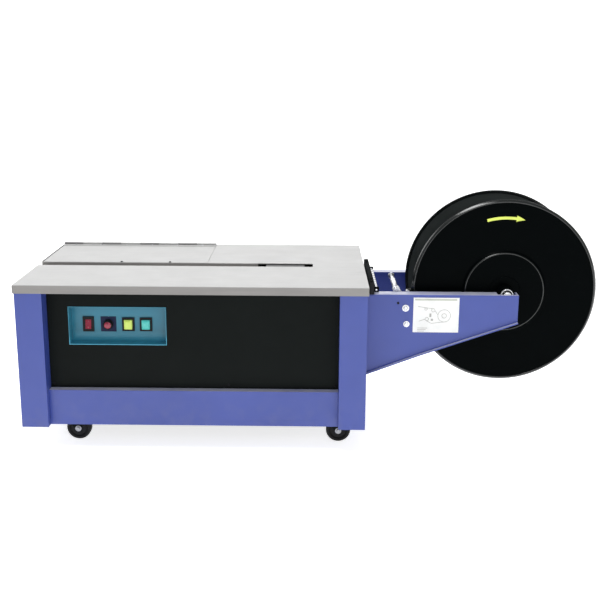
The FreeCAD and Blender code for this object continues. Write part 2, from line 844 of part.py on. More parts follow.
def flange_profile(face, outwards):
    """Half section of a dished flange with a thick rim and a raised centre."""
    sheet_size, dish, rim = dim("flange_sheet") * outwards, dim("flange_dish") * outwards, 2 * outwards
    step = dim("dish_radius")
    edge = dim("reel_radius")
    hole = HUB_RADIUS + 0.1
    inside = face - sheet_size
    return [
        (hole, face + dish), (step - 2, face + dish), (step + 2, face), (edge - 7, face),
        (edge - 5, face + rim), (edge - 1, face + rim), (edge, face + rim / 2), (edge, inside - rim / 2),
        (edge - 1, inside - rim), (edge - 5, inside - rim), (edge - 7, inside),
        (step + 1, inside), (step - 3, inside + dish), (hole, inside + dish),
    ]


def make_reel():
    node(revolve_y("front_flange", flange_profile(REEL_FRONT, -1), AXLE), "reel_front_flange")
    node(revolve_y("rear_flange", flange_profile(REEL_BACK, 1), AXLE), "reel_rear_flange")
    wall = 4
    sheet_size, dish = dim("flange_sheet"), dim("flange_dish")
    front, back = REEL_FRONT + sheet_size - dish, REEL_BACK - sheet_size + dish
    hub_front, hub_back = ARM_FRONT + 17, ARM_BACK - 17
    middle = (REEL_FRONT + REEL_BACK) / 2
    bore = dim("axle_radius") + dim("running")
    core = dim("core_radius")
    profile = [
        (bore, hub_front), (HUB_RADIUS, hub_front), (HUB_RADIUS, middle - wall), (core - wall, middle - wall),
        (core - wall, front), (core, front), (core, back), (core - wall, back), (core - wall, middle + wall),
        (HUB_RADIUS, middle + wall), (HUB_RADIUS, hub_back), (bore, hub_back),
    ]
    node(revolve_y("core", profile, AXLE), "reel_core")


# ---------------------------------------------------------------- strap inlet and reel brake

INLET_X = (RIGHT + 7, RIGHT + 19)
ROLLER = (RIGHT + 26, dim("arm_top") + 6.1)
ROLLER_Y = (ARM_FRONT + 30, ARM_BACK - 30)


def make_inlet_guide():
    """A square tube across both arms, with the strap's window and an ear at each end for the roller."""
    low, high, wall = dim("arm_top"), dim("arm_top") + 30.6, 2
    tube = new_body("inlet_tube")
    pad(tube, "XZ_Plane", ARM_FRONT, ARM_BACK, lambda drawing: rectangle(drawing, INLET_X, (low, high)))
    pocket(tube, "XZ_Plane", ARM_FRONT - 1, ARM_BACK + 1, lambda drawing: rectangle(
        drawing, (INLET_X[0] + wall, INLET_X[1] - wall), (low + wall, high - wall)))
    pocket(tube, "YZ_Plane", INLET_X[0] - 1, INLET_X[1] + 1, lambda drawing: rectangle(
        drawing, STRAP_WINDOW_Y, (low + 5, high - 6)))
    for near in (ROLLER_Y[0] - 4.3, ROLLER_Y[1] + 0.3):
        pad(tube, "XZ_Plane", near, near + 4, lambda drawing: rectangle(
            drawing, (INLET_X[1] - 1, ROLLER[0] + 7), (low + 0.3, low + 14)))
        pocket(tube, "XZ_Plane", near - 0.1, near + 4.1, lambda drawing: circle(
            drawing, ROLLER, 3 + dim("running") * 2))
    node(tube, "strap_inlet_guide")


def make_inlet_roller():
    length = ROLLER_Y[1] - ROLLER_Y[0]
    tube = cylinder("Y", (ROLLER[0], ROLLER_Y[0], ROLLER[1]), 5.5, length)
    pin = cylinder("Y", (ROLLER[0], ROLLER_Y[0] - 6, ROLLER[1]), 3, length + 12)
    node(fuse(tube, pin, name="inlet_roll"), "inlet_roller")


LEVER_Y = (ARM_FRONT + 37, ARM_FRONT + 41)
DANCER = (ARM_X + 84, dim("arm_top") + 6.6)


def make_brake():
    """The reel brake: a lever that the strap swings by its rod, a rubber pad and a return spring."""
    px, pz = PIVOT
    plate = new_body("lever_plate")
    outline = [
        (px - 9, pz - 9), (px + 9, pz - 9), (px + 19, pz + 20), (px + 12, pz + 38), (px + 2, pz + 38),
        (px, pz + 22), (DANCER[0] + 7, DANCER[1] + 7), (DANCER[0] - 7, DANCER[1] + 7),
        (DANCER[0] - 7, DANCER[1] - 7),
    ]
    pad(plate, "XZ_Plane", *LEVER_Y, lambda drawing: polygon(drawing, outline))
    pocket(plate, "XZ_Plane", LEVER_Y[0] - 0.1, LEVER_Y[1] + 0.1,
           lambda drawing: circle(drawing, PIVOT, 6 + dim("running")))
    rod = cylinder("Y", (DANCER[0], LEVER_Y[0] - 2, DANCER[1]), 4.5, 162)
    finger = box((px + 5, px + 10), (LEVER_Y[1], REEL_FRONT + 6), (pz + 20, pz + 36), "pad_finger")
    node(fuse(plate, rod, finger, name="lever"), "brake_lever")
    shoe = box((px + 10, AXLE_X - dim("reel_radius") - 0.8), (REEL_FRONT - 6, REEL_FRONT + 8),
               (pz + 20, pz + 38), "shoe")
    node(shoe, "brake_pad")
    start = ARM_FRONT + dim("arm_sheet") + 2
    coil = cylinder("Y", (px, start, pz), 10, 26)
    hollow = cylinder("Y", (px, start - 1, pz), 7, 28)
    node(cut(coil, hollow, name="coil"), "brake_spring")


# ---------------------------------------------------------------- sealing head

HEAD_X = along(dim("head_place"))
STROKE_WIDTHS = {"left": (-40, -20), "press": (-14, 14), "right": (20, 40)}
HEAD_BACK = SLOT_MIDDLE + 36.5
HEAD_FRONT = SLOT_MIDDLE - 33.5
ANVIL_LOW = UNDER_TABLE - 5
HEATER_PIVOT = (HEAD_X, SLOT_MIDDLE + 34.5)


def make_head_frame():
    """Guide block on four columns, with two anvil rails, the heater's pivot and a cam bearing."""
    block = new_body("guide_block")
    low, high = dim("head_bottom"), dim("head_top")
    pad(block, "XY_Plane", low, high, lambda drawing: rectangle(
        drawing, (HEAD_X - 55, HEAD_X + 55), (HEAD_FRONT, HEAD_BACK)))

    def windows(drawing):
        for first, second in STROKE_WIDTHS.values():
            rectangle(drawing, (HEAD_X + first, HEAD_X + second), (SLOT_MIDDLE - 12, SLOT_MIDDLE + 12))

    pocket(block, "XY_Plane", low - 1, high + 1, windows)
    radius = dim("column_radius")
    pieces = [block]
    for x in (HEAD_X - 48, HEAD_X + 48):
        for y in (HEAD_FRONT + radius, HEAD_BACK - radius):
            pieces.append(cylinder("Z", (x, y, BASE_TOP), radius, low - BASE_TOP))
    for x in (HEAD_X - 55, HEAD_X + 47):
        pieces.append(box((x, x + 8), (HEAD_FRONT, HEAD_BACK), (high, ANVIL_LOW - 0.5), "anvil_rail"))
    pieces.append(cylinder("Z", (*HEATER_PIVOT, high - 1), 4, ANVIL_LOW - high))
    bearing = box((HEAD_X + 56, HEAD_X + 64), around(SLOT_MIDDLE, 20), (260, high), "bearing")
    bridge = box((HEAD_X + 50, HEAD_X + 60), around(SLOT_MIDDLE, 20), (low, high), "bridge")
    bore = cylinder("X", (HEAD_X + 54, SLOT_MIDDLE, dim("cam_level")),
                    dim("shaft_radius") + dim("running"), 12)
    pieces += [cut(bearing, bore), bridge]
    node(fuse(*pieces, name="head"), "head_frame")


def stroke_piece(place, top, label):
    """A vertical slide of the head with a roller pad above its cam."""
    first, second = STROKE_WIDTHS[place]
    low = dim("cam_level") + 27.5
    slide = box((HEAD_X + first + 0.25, HEAD_X + second - 0.25), (SLOT_MIDDLE - 11.75, SLOT_MIDDLE + 11.75),
                (low, top), label + "_slide")
    node(slide, label)


def make_head_slides():
    stroke_piece("left", 424, "left_gripper")
    stroke_piece("right", 424, "right_gripper")
    stroke_piece("press", 420, "press_head")


def make_slide_plate():
    """The anvil: the plate that the strap is pressed against, drawn back to free the strap."""
    plate = box(around(HEAD_X, 53), (SLOT_MIDDLE - 44, SLOT_MIDDLE + 42),
                (ANVIL_LOW, ANVIL_LOW + 4), "anvil")
    node(plate, "slide_plate")


def make_heater():
    px, py = HEATER_PIVOT
    hub = cylinder("Z", (px, py, 425), 9, 8.5)
    blade = box((px - 40, px), (py - 8, py + 8), (431.5, 433.5), "blade")
    bore = cylinder("Z", (px, py, 424), 4 + dim("running"), 12)
    node(cut(fuse(hub, blade), bore, name="heater"), "heater_arm")


def make_camshaft():
    """The camshaft with one eccentric cam under each slide."""
    start = HEAD_X - 92.5
    shaft = cylinder("X", (start, SLOT_MIDDLE, dim("cam_level")), dim("shaft_radius"), HEAD_X + 64 - start)
    pieces = [shaft]
    for place, turn in (("left", 0), ("press", 120), ("right", 240)):
        middle = sum(STROKE_WIDTHS[place]) / 2
        angle = math.radians(turn)
        centre = (SLOT_MIDDLE + 6 * math.sin(angle), dim("cam_level") - 6 * math.cos(angle))
        pieces.append(cylinder("X", (HEAD_X + middle - 8, *centre), 20, 16))
    node(fuse(*pieces, name="cams"), "camshaft")


# ---------------------------------------------------------------- drive

PULLEY_X = (HEAD_X - 215, HEAD_X - 193)
MOTOR_Y = behind(dim("motor_depth"))


def make_reducer():
    """The gear reducer between the belt and the camshaft, on its pedestal."""
    level = dim("cam_level")
    case = box((HEAD_X - 180, HEAD_X - 93), around(SLOT_MIDDLE, 50), around(level, 50), "case")
    stand = box((HEAD_X - 175, HEAD_X - 100), around(SLOT_MIDDLE, 35), (BASE_TOP, level - 50), "stand")
    node(fuse(case, stand, name="reducer"), "gear_reducer")


def pulley(radius, centre, shaft_end):
    """A flat belt pulley with two shoulders and a stub shaft."""
    y, z = centre
    rim = cylinder("X", (PULLEY_X[0] + 3, y, z), radius, 16)
    shoulders = [cylinder("X", (x, y, z), size(radius) + 4, 3) for x in (PULLEY_X[0], PULLEY_X[1] - 3)]
    stub = cylinder("X", (PULLEY_X[0], y, z), 9, shaft_end - PULLEY_X[0])
    return fuse(rim, *shoulders, stub, name="pulley")


def make_drive():
    level, motor_level = dim("cam_level"), dim("motor_level")
    large = pulley(dim("large_pulley"), (SLOT_MIDDLE, level), HEAD_X - 180.3)
    node(large, "reducer_pulley")
    small = pulley(dim("small_pulley"), (MOTOR_Y, motor_level), HEAD_X - 187.3)
    node(small, "motor_pulley")
    radius = dim("motor_radius")
    can = cylinder("X", (HEAD_X - 187, MOTOR_Y, motor_level), radius, 170)
    feet = box((HEAD_X - 165, HEAD_X - 45), around(MOTOR_Y, 50), (BASE_TOP, motor_level - 30), "feet")
    terminal = box((HEAD_X - 130, HEAD_X - 70), around(MOTOR_Y, 35),
                   (motor_level + 40, motor_level + 85), "terminal_box")
    node(fuse(can, feet, terminal, name="motor"), "drive_motor")


def tangent_loop(first, first_radius, second, second_radius):
    """The wire of a belt's outer tangents round two circles, in the Y-Z plane at X = 0."""
    dy, dz = second[0] - first[0], second[1] - first[1]
    distance = math.hypot(dy, dz)
    heading = math.atan2(dz, dy)
    lean = math.acos((first_radius - second_radius) / distance)

    def point(centre, radius, angle):
        return FreeCAD.Vector(0, centre[0] + radius * math.cos(angle), centre[1] + radius * math.sin(angle))

    upper, lower = heading + lean, heading - lean
    near_arc = Part.Arc(point(first, first_radius, upper), point(first, first_radius, heading + math.pi),
                        point(first, first_radius, lower))
    far_arc = Part.Arc(point(second, second_radius, lower), point(second, second_radius, heading),
                       point(second, second_radius, upper))
    down = Part.LineSegment(point(first, first_radius, lower), point(second, second_radius, lower))
    back = Part.LineSegment(point(second, second_radius, upper), point(first, first_radius, upper))
    return Part.Wire([near_arc.toShape(), down.toShape(), far_arc.toShape(), back.toShape()])


def make_belt():
    """The flat drive belt, whose tangent lines come from the two pulleys' places and radii."""
    first = (MOTOR_Y.value, sheet.motor_level)
    second = (SLOT_MIDDLE.value, sheet.cam_level)
    gap = sheet.loose
    inner = tangent_loop(first, sheet.small_pulley + gap, second, sheet.large_pulley + gap)
    reach = gap + sheet.belt_sheet
    outer = tangent_loop(first, sheet.small_pulley + reach, second, sheet.large_pulley + reach)
    width = 15
    solid = Part.Face(outer).cut(Part.Face(inner)).extrude(FreeCAD.Vector(width, 0, 0))
    belt = doc.addObject("Part::Feature", "belt")
    belt.Shape = solid.Solids[0]
    move(belt, PULLEY_X[0] + 3.5, 0, 0)
    node(belt, "drive_belt")


FEED = (along(dim("feed_place")), dim("feed_level"))
SQUEEZE = math.sqrt(0.5)
CENTRES = dim("feed_radius") + dim("pressure_radius") + 0.6
PRESSURE = (FEED[0] - CENTRES * SQUEEZE, FEED[1] + CENTRES * SQUEEZE)
BRACKET_Y = (SLOT_MIDDLE + 35, SLOT_MIDDLE + 41)


def make_feed():
    """The strap feed: a driven roller and a pressure roller on one upright plate."""
    bracket = new_body("feed_plate")
    pad(bracket, "XZ_Plane", *BRACKET_Y, lambda drawing: rectangle(
        drawing, (FEED[0] - 60, FEED[0] + 38), (BASE_TOP, dim("head_top"))))
    shafts = {"feed": (FEED, 8, dim("feed_radius")), "pressure": (PRESSURE, 6, dim("pressure_radius"))}

    def bores(drawing):
        for centre, radius, _ in shafts.values():
            circle(drawing, centre, radius + dim("running"))

    pocket(bracket, "XZ_Plane", BRACKET_Y[0] - 0.1, BRACKET_Y[1] + 0.1, bores)
    node(bracket, "feed_bracket")
    for label, (centre, shaft, radius) in shafts.items():
        tyre = cylinder("Y", (centre[0], SLOT_MIDDLE - 9, centre[1]), radius, 18)
        pin = cylinder("Y", (centre[0], SLOT_MIDDLE - 9, centre[1]), shaft, BRACKET_Y[1] - SLOT_MIDDLE + 11)
        node(fuse(tyre, pin, name=label + "_roll"), label + "_roller")


def make_electrical_box():
    """The control cabinet behind the tray: a closed case with a screwed lid."""
    x, y = (along(60), along(190)), (30, 200)
    case = box(x, y, (BASE_TOP, 250), "case")
    lid = box((x[0] - 3, x[1] + 3), (y[0] - 3, y[1] + 3), (250, 256), "case_lid")
    node(fuse(case, lid, name="control_case"), "electrical_box")


# ---------------------------------------------------------------- casters

def caster_places():
    near = behind(dim("caster_depth"))
    left = along(dim("caster_place"))
    right = RIGHT - dim("caster_place")
    return {
        "front_left": (left, near),
        "front_right": (right, near),
        "rear_left": (left, -near),
        "rear_right": (right, -near),
    }


def make_caster_plates():
    """Top plates with their bearing races, one for each caster."""
    level = dim("base_level")
    plates = []
    for x, y in caster_places().values():
        plate = box((x - 32, x + 32), (y - 27, y + 27), (level - 3, level), "top_plate")
        race = cylinder("Z", (x, y, 78.5), 19, level - 3 - 78.5)
        bore = cylinder("Z", (x, y, 78), 5 + dim("running"), 9)
        plates.append(cut(fuse(plate, race), bore))
    node(group(*plates, name="top_plates"), "caster_plates")


def make_fork(corner, x, y):
    """A swivel fork: kingpin, crown, two legs and the wheel's axle."""
    trail, hub = dim("caster_trail"), dim("wheel_radius")
    legs = new_body(corner + "_legs")
    outline = [
        (-14, 74), (42, 74), (trail + 9, hub), (trail + 5, hub - 8), (trail - 5, hub - 8), (trail - 9, hub),
    ]
    inner, outer = dim("wheel_width") / 2 + 1.5, dim("wheel_width") / 2 + 4.5
    for low, high in ((-outer, -inner), (inner, outer)):
        pad(legs, "XZ_Plane", y + low, y + high, lambda drawing: polygon(
            drawing, [(x + across, up) for across, up in outline]))
        if low is not inner:
            pad(legs, "XZ_Plane", y - outer, y + outer, lambda drawing: rectangle(
                drawing, (x - 14, x + 42), (74, 77)))
    crown = cylinder("Z", (x, y, 74), 19, 4)
    kingpin = cylinder("Z", (x, y, 76), 5, 10.5)
    axle = cylinder("Y", (x + trail, y - outer - 2, hub), 4, outer * 2 + 4)
    return fuse(legs, crown, kingpin, axle, name=corner + "_fork")


def make_wheel(corner, x, y):
    """A wheel with a rubber-tyre profile and a bored hub."""
    half, radius = dim("wheel_width") / 2, dim("wheel_radius")
    bore = 4 + dim("running")
    profile = [
        (bore, -half - 1), (9, -half - 1), (9, -half + 3), (radius - 10, -half + 3), (radius - 8, -half),
        (radius - 3, -half), (radius, -half + 4), (radius, half - 4), (radius - 3, half),
        (radius - 8, half), (radius - 10, half - 3), (9, half - 3), (9, half + 1), (bore, half + 1),
    ]
    points = [(across, y + up) for across, up in profile]
    return revolve_y(corner + "_wheel", points, (x + dim("caster_trail"), radius))


def make_casters():
    make_caster_plates()
    for corner, (x, y) in caster_places().items():
        node(make_fork(corner, x, y), f"caster_fork_{corner}")
        node(make_wheel(corner, x, y), f"caster_wheel_{corner}")


# ---------------------------------------------------------------- build and export

def check():
    """Stop if any object failed or any sub-part has no valid solid."""
    doc.recompute()
    for thing in doc.Objects:
        if "Invalid" in thing.State or "Error" in thing.State:
            raise SystemExit(f"{thing.Name} ({thing.Label}) failed: {thing.State}")
    for thing in NODES:
        shape = thing.Shape
        if shape.isNull() or not shape.isValid() or not shape.Solids:
            raise SystemExit(f"{thing.Label} has no valid solid")


def main():
    make_posts()
    make_rails()
    make_base_plate()
    make_front_panel()
    make_rear_panel()
    make_cable_gland()
    make_side_panels()
    make_control_tray()
    make_bezels()
    make_rocker()
    make_knob()
    make_buttons()
    make_table_plate()
    make_lid_hinge()
    make_table_lid()
    make_guide_channel()
    make_arms()
    make_arm_bolts()
    make_axle()
    make_reel()
    make_inlet_guide()
    make_inlet_roller()
    make_brake()
    make_head_frame()
    make_head_slides()
    make_slide_plate()
    make_heater()
    make_camshaft()
    make_reducer()
    make_drive()
    make_belt()
    make_feed()
    make_electrical_box()
    make_casters()
    check()
    os.makedirs("parts", exist_ok=True)
    for thing in NODES:
        thing.Shape.exportStep(f"parts/{thing.Label}.step")
    print(len(NODES), "nodes")


main()
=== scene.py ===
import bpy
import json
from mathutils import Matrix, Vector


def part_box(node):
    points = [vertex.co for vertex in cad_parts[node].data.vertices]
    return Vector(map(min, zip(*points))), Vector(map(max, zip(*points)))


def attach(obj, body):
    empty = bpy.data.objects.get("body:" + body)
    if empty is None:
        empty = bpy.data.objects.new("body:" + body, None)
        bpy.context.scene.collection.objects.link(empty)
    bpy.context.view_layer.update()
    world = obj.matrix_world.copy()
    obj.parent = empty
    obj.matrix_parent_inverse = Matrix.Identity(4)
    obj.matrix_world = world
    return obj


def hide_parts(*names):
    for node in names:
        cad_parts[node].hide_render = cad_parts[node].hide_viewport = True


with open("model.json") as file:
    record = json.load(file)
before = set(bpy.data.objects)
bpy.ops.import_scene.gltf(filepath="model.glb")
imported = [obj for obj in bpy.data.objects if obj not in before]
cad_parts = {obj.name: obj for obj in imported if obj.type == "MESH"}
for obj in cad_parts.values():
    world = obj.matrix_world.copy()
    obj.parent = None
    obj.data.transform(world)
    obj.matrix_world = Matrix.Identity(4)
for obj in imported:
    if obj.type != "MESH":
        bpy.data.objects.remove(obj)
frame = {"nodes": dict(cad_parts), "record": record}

"""Looks of the semi automatic strapping machine: materials, fine pieces, camera and light."""

import json
import math

import bmesh
import bpy
from mathutils import Matrix, Vector

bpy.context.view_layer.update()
NODES = frame["nodes"]
TABLE_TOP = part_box("table_plate")[1][2]
# Heights between which the cabinet gets dusty, the tray is painted paler as painted light, and the table's
# edge of painted shade becomes its top.
FLOOR_DUST = (0.17, 0.06)
TRAY_PAINTED_LIGHT = (0.306, 0.284)
FOLD_PAINTED_SHADE = (TABLE_TOP - 0.0018, TABLE_TOP - 0.0008)


# ---------------------------------------------------------------- procedural materials

def shade(colour, factor, lift=0.0):
    """A colour made darker or lighter by a factor, and raised towards white."""
    return tuple(min(1.0, factor * channel + lift) for channel in colour)


class Shader:
    """A Principled material whose texture nodes all read the object's own coordinates."""

    def __init__(self, name, colour, roughness, metallic=0.0, coat=0.0, specular=0.5):
        self.material = bpy.data.materials.new(name)
        self.material.use_nodes = True
        self.tree = self.material.node_tree
        self.surface = self.tree.nodes["Principled BSDF"]
        self.colour = colour
        self.set("Base Color", (*colour, 1))
        self.set("Roughness", roughness)
        self.set("Metallic", metallic)
        self.set("Coat Weight", coat)
        self.set("Coat Roughness", 0.12)
        self.set("Specular IOR Level", specular)
        self.place = self.tree.nodes.new("ShaderNodeTexCoord").outputs["Object"]
        self.normal = None

    def set(self, socket, value):
        self.surface.inputs[socket].default_value = value

    def link(self, source, target):
        self.tree.links.new(source, target)

    def noise(self, scale, stretch=(1, 1, 1), detail=4.0, rough=0.55):
        """A noise field; stretch multiplies the frequency along each axis."""
        mapping = self.tree.nodes.new("ShaderNodeMapping")
        mapping.inputs["Scale"].default_value = stretch
        self.link(self.place, mapping.inputs["Vector"])
        texture = self.tree.nodes.new("ShaderNodeTexNoise")
        texture.inputs["Scale"].default_value = scale
        texture.inputs["Detail"].default_value = detail
        texture.inputs["Roughness"].default_value = rough
        self.link(mapping.outputs["Vector"], texture.inputs["Vector"])
        return texture.outputs["Fac"]

    def span(self, value, low, high, start=0.3, end=0.7):
        """Map a field to a range of values."""
        spread = self.tree.nodes.new("ShaderNodeMapRange")
        spread.inputs["From Min"].default_value = start
        spread.inputs["From Max"].default_value = end
        spread.inputs["To Min"].default_value = low
        spread.inputs["To Max"].default_value = high
        self.link(value, spread.inputs["Value"])
        return spread.outputs["Result"]

    def blend_colour(self, factor, first, second):
        """Mix two colours (or colour outputs) by a field and return the output."""
        mix = self.tree.nodes.new("ShaderNodeMix")
        mix.data_type = "RGBA"
        self.link(factor, mix.inputs["Factor"])
        for socket, value in ((mix.inputs["A"], first), (mix.inputs["B"], second)):
            if isinstance(value, tuple):
                socket.default_value = (*value, 1)
            else:
                self.link(value, socket)
        return mix.outputs["Result"]

    def vary_colour(self, field, amount):
        """Lighten and darken the base colour slightly over the surface."""
        return self.blend_colour(self.span(field, 0, 1), shade(self.colour, 1 - amount),
                                 shade(self.colour, 1 + amount))

    def streak(self, lines):
        """Lighten and darken the base colour along brush lines."""
        return self.blend_colour(self.span(lines, 0, 1), shade(self.colour, 0.93), shade(self.colour, 1.05))

    def paint(self, output):
        self.link(output, self.surface.inputs["Base Color"])

    def rough(self, field, low, high):
        self.link(self.span(field, low, high), self.surface.inputs["Roughness"])

    def bump(self, field, strength, distance=0.001):
        node = self.tree.nodes.new("ShaderNodeBump")
        node.inputs["Strength"].default_value = strength
        node.inputs["Distance"].default_value = distance
        self.link(field, node.inputs["Height"])
        if self.normal is not None:
            self.link(self.normal, node.inputs["Normal"])
        self.normal = node.outputs["Normal"]
        self.link(self.normal, self.surface.inputs["Normal"])

    def height(self, low, high):
        """A field that rises from 0 to 1 between two heights in the object's frame."""
        split = self.tree.nodes.new("ShaderNodeSeparateXYZ")
        self.link(self.place, split.inputs["Vector"])
        return self.span(split.outputs["Z"], 0, 1, low, high)

    def upward(self, low, high):
        """A field that rises from 0 to 1 as the surface turns to face up."""
        split = self.tree.nodes.new("ShaderNodeSeparateXYZ")
        facing = self.tree.nodes.new("ShaderNodeNewGeometry").outputs["Normal"]
        self.link(facing, split.inputs["Vector"])
        return self.span(split.outputs["Z"], 0, 1, low, high)

    def times(self, first, second):
        product = self.tree.nodes.new("ShaderNodeMath")
        product.operation = "MULTIPLY"
        self.link(first, product.inputs[0])
        self.link(second, product.inputs[1])
        return product.outputs["Value"]


def painted(name, colour, roughness, grain, specular=0.5):
    """Sprayed sheet: orange peel, faint mottling and uneven gloss."""
    shader = Shader(name, colour, roughness, specular=specular)
    shader.paint(shader.vary_colour(shader.noise(9, detail=3), 0.06))
    shader.rough(shader.noise(38, detail=5), roughness - 0.05, roughness + 0.07)
    shader.bump(shader.noise(grain, detail=2), 0.12, 0.0004)
    return shader.material


def tray_paint(name, colour):
    """Enamel of the control tray, painted paler towards its lower edge: painted light where the recess would
    shade the face.
    """
    shader = Shader(name, colour, 0.36, coat=0.2)
    base = shader.vary_colour(shader.noise(9, detail=3), 0.06)
    # painted light: the face is painted paler towards its lower edge, in place of the light that the recess's
    # own shade keeps off it
    painted_light = shader.times(shader.height(*TRAY_PAINTED_LIGHT), shader.span(shader.noise(24, detail=4), 0.75, 1.0))
    shader.paint(shader.blend_colour(painted_light, base, shade(colour, 1.7, 0.03)))
    shader.rough(shader.noise(38, detail=5), 0.31, 0.43)
    shader.bump(shader.noise(1300, detail=2), 0.12, 0.0004)
    return shader.material


def powder_coat(name, colour, roughness, grain):
    """Powder coat: duller and dusty towards the floor, and painted paler on faces that look up, a painted
    highlight of the top light.
    """
    shader = Shader(name, colour, roughness, coat=0.3)
    base = shader.vary_colour(shader.noise(7, detail=3), 0.05)
    scuffs = shader.span(shader.noise(30, detail=6), 0.0, 0.5, 0.45, 0.7)
    dust = shader.times(scuffs, shader.height(*FLOOR_DUST))
    dusty = shader.blend_colour(dust, base, shade(colour, 0.78, 0.05))
    # painted highlight: faces that look up are painted paler, standing for the top light on lips and folds
    top_highlight = shader.times(shader.upward(0.6, 0.95), shader.span(shader.noise(16, detail=4), 0.55, 0.9))
    shader.paint(shader.blend_colour(top_highlight, dusty, shade(colour, 0.25, 0.52)))
    shader.rough(shader.noise(45, detail=5), roughness - 0.05, roughness + 0.08)
    shader.bump(shader.noise(grain, detail=2), 0.14, 0.0004)
    shader.bump(shader.noise(5, detail=1), 0.03, 0.003)
    return shader.material


def brushed(name, colour, roughness, metallic):
    """Metal with fine parallel brush lines along X."""
    shader = Shader(name, colour, roughness, metallic)
    lines = shader.noise(900, (0.1, 1, 1), detail=3)
    shader.paint(shader.streak(lines))
    shader.rough(shader.noise(14, detail=4), roughness - 0.06, roughness + 0.07)
    shader.bump(lines, 0.05, 0.0002)
    shader.bump(shader.noise(3.5, detail=2), 0.02, 0.002)
    return shader.material


def table_sheet(name, colour, painted_shade_colour):
    """Satin table steel with a worn top; the folded edge is painted darker, as painted shade of its
    front-facing side.
    """
    shader = Shader(name, colour, 0.46, 0.30)
    lines = shader.noise(700, (0.02, 1, 1), detail=3)
    marks = shader.span(shader.noise(26, (0.35, 1, 1), detail=7, rough=0.7), 0, 0.4, 0.60, 0.74)
    worn = shader.blend_colour(marks, shader.streak(lines), shade(colour, 0.80))
    # painted shade: the folded front edge is painted darker than the top, for the lesser light that falls on
    # it
    edge = shader.blend_colour(shader.span(shader.noise(60, (0.1, 1, 1), detail=4), 0, 1), painted_shade_colour,
                               shade(painted_shade_colour, 1.18))
    shader.paint(shader.blend_colour(shader.height(*FOLD_PAINTED_SHADE), edge, worn))
    shader.rough(shader.noise(14, detail=4), 0.40, 0.53)
    shader.bump(lines, 0.05, 0.0002)
    shader.bump(shader.noise(3.5, detail=2), 0.02, 0.002)
    return shader.material


def plated(name, colour, roughness):
    """Bright zinc: slightly cloudy, with fine pitting."""
    shader = Shader(name, colour, roughness, metallic=1.0)
    shader.paint(shader.vary_colour(shader.noise(60, detail=5), 0.10))
    shader.rough(shader.noise(120, detail=5), roughness - 0.08, roughness + 0.12)
    shader.bump(shader.noise(700, detail=3), 0.06, 0.0002)
    return shader.material


def moulded(name, colour, roughness, coat=0.0, bump=0.08, specular=0.5):
    """Moulded plastic: smooth with a faint grain and flow marks."""
    shader = Shader(name, colour, roughness, coat=coat, specular=specular)
    shader.paint(shader.vary_colour(shader.noise(20, detail=3), 0.08))
    shader.rough(shader.noise(25, detail=4), max(0.02, roughness - 0.05), roughness + 0.06)
    shader.bump(shader.noise(900, detail=2), bump, 0.0002)
    shader.bump(shader.noise(6, detail=1), 0.03, 0.003)
    return shader.material


def rubber(name, colour, roughness=0.7):
    shader = Shader(name, colour, roughness, specular=0.3)
    shader.paint(shader.vary_colour(shader.noise(50, detail=6), 0.25))
    shader.rough(shader.noise(90, detail=5), roughness - 0.1, roughness + 0.1)
    shader.bump(shader.noise(1200, detail=4), 0.2, 0.0003)
    return shader.material


def cast(name, colour):
    """Painted casting with a sandy surface."""
    shader = Shader(name, colour, 0.55, metallic=0.2)
    shader.paint(shader.vary_colour(shader.noise(40, detail=6), 0.15))
    shader.rough(shader.noise(70), 0.45, 0.65)
    shader.bump(shader.noise(500, detail=6), 0.35, 0.0006)
    return shader.material


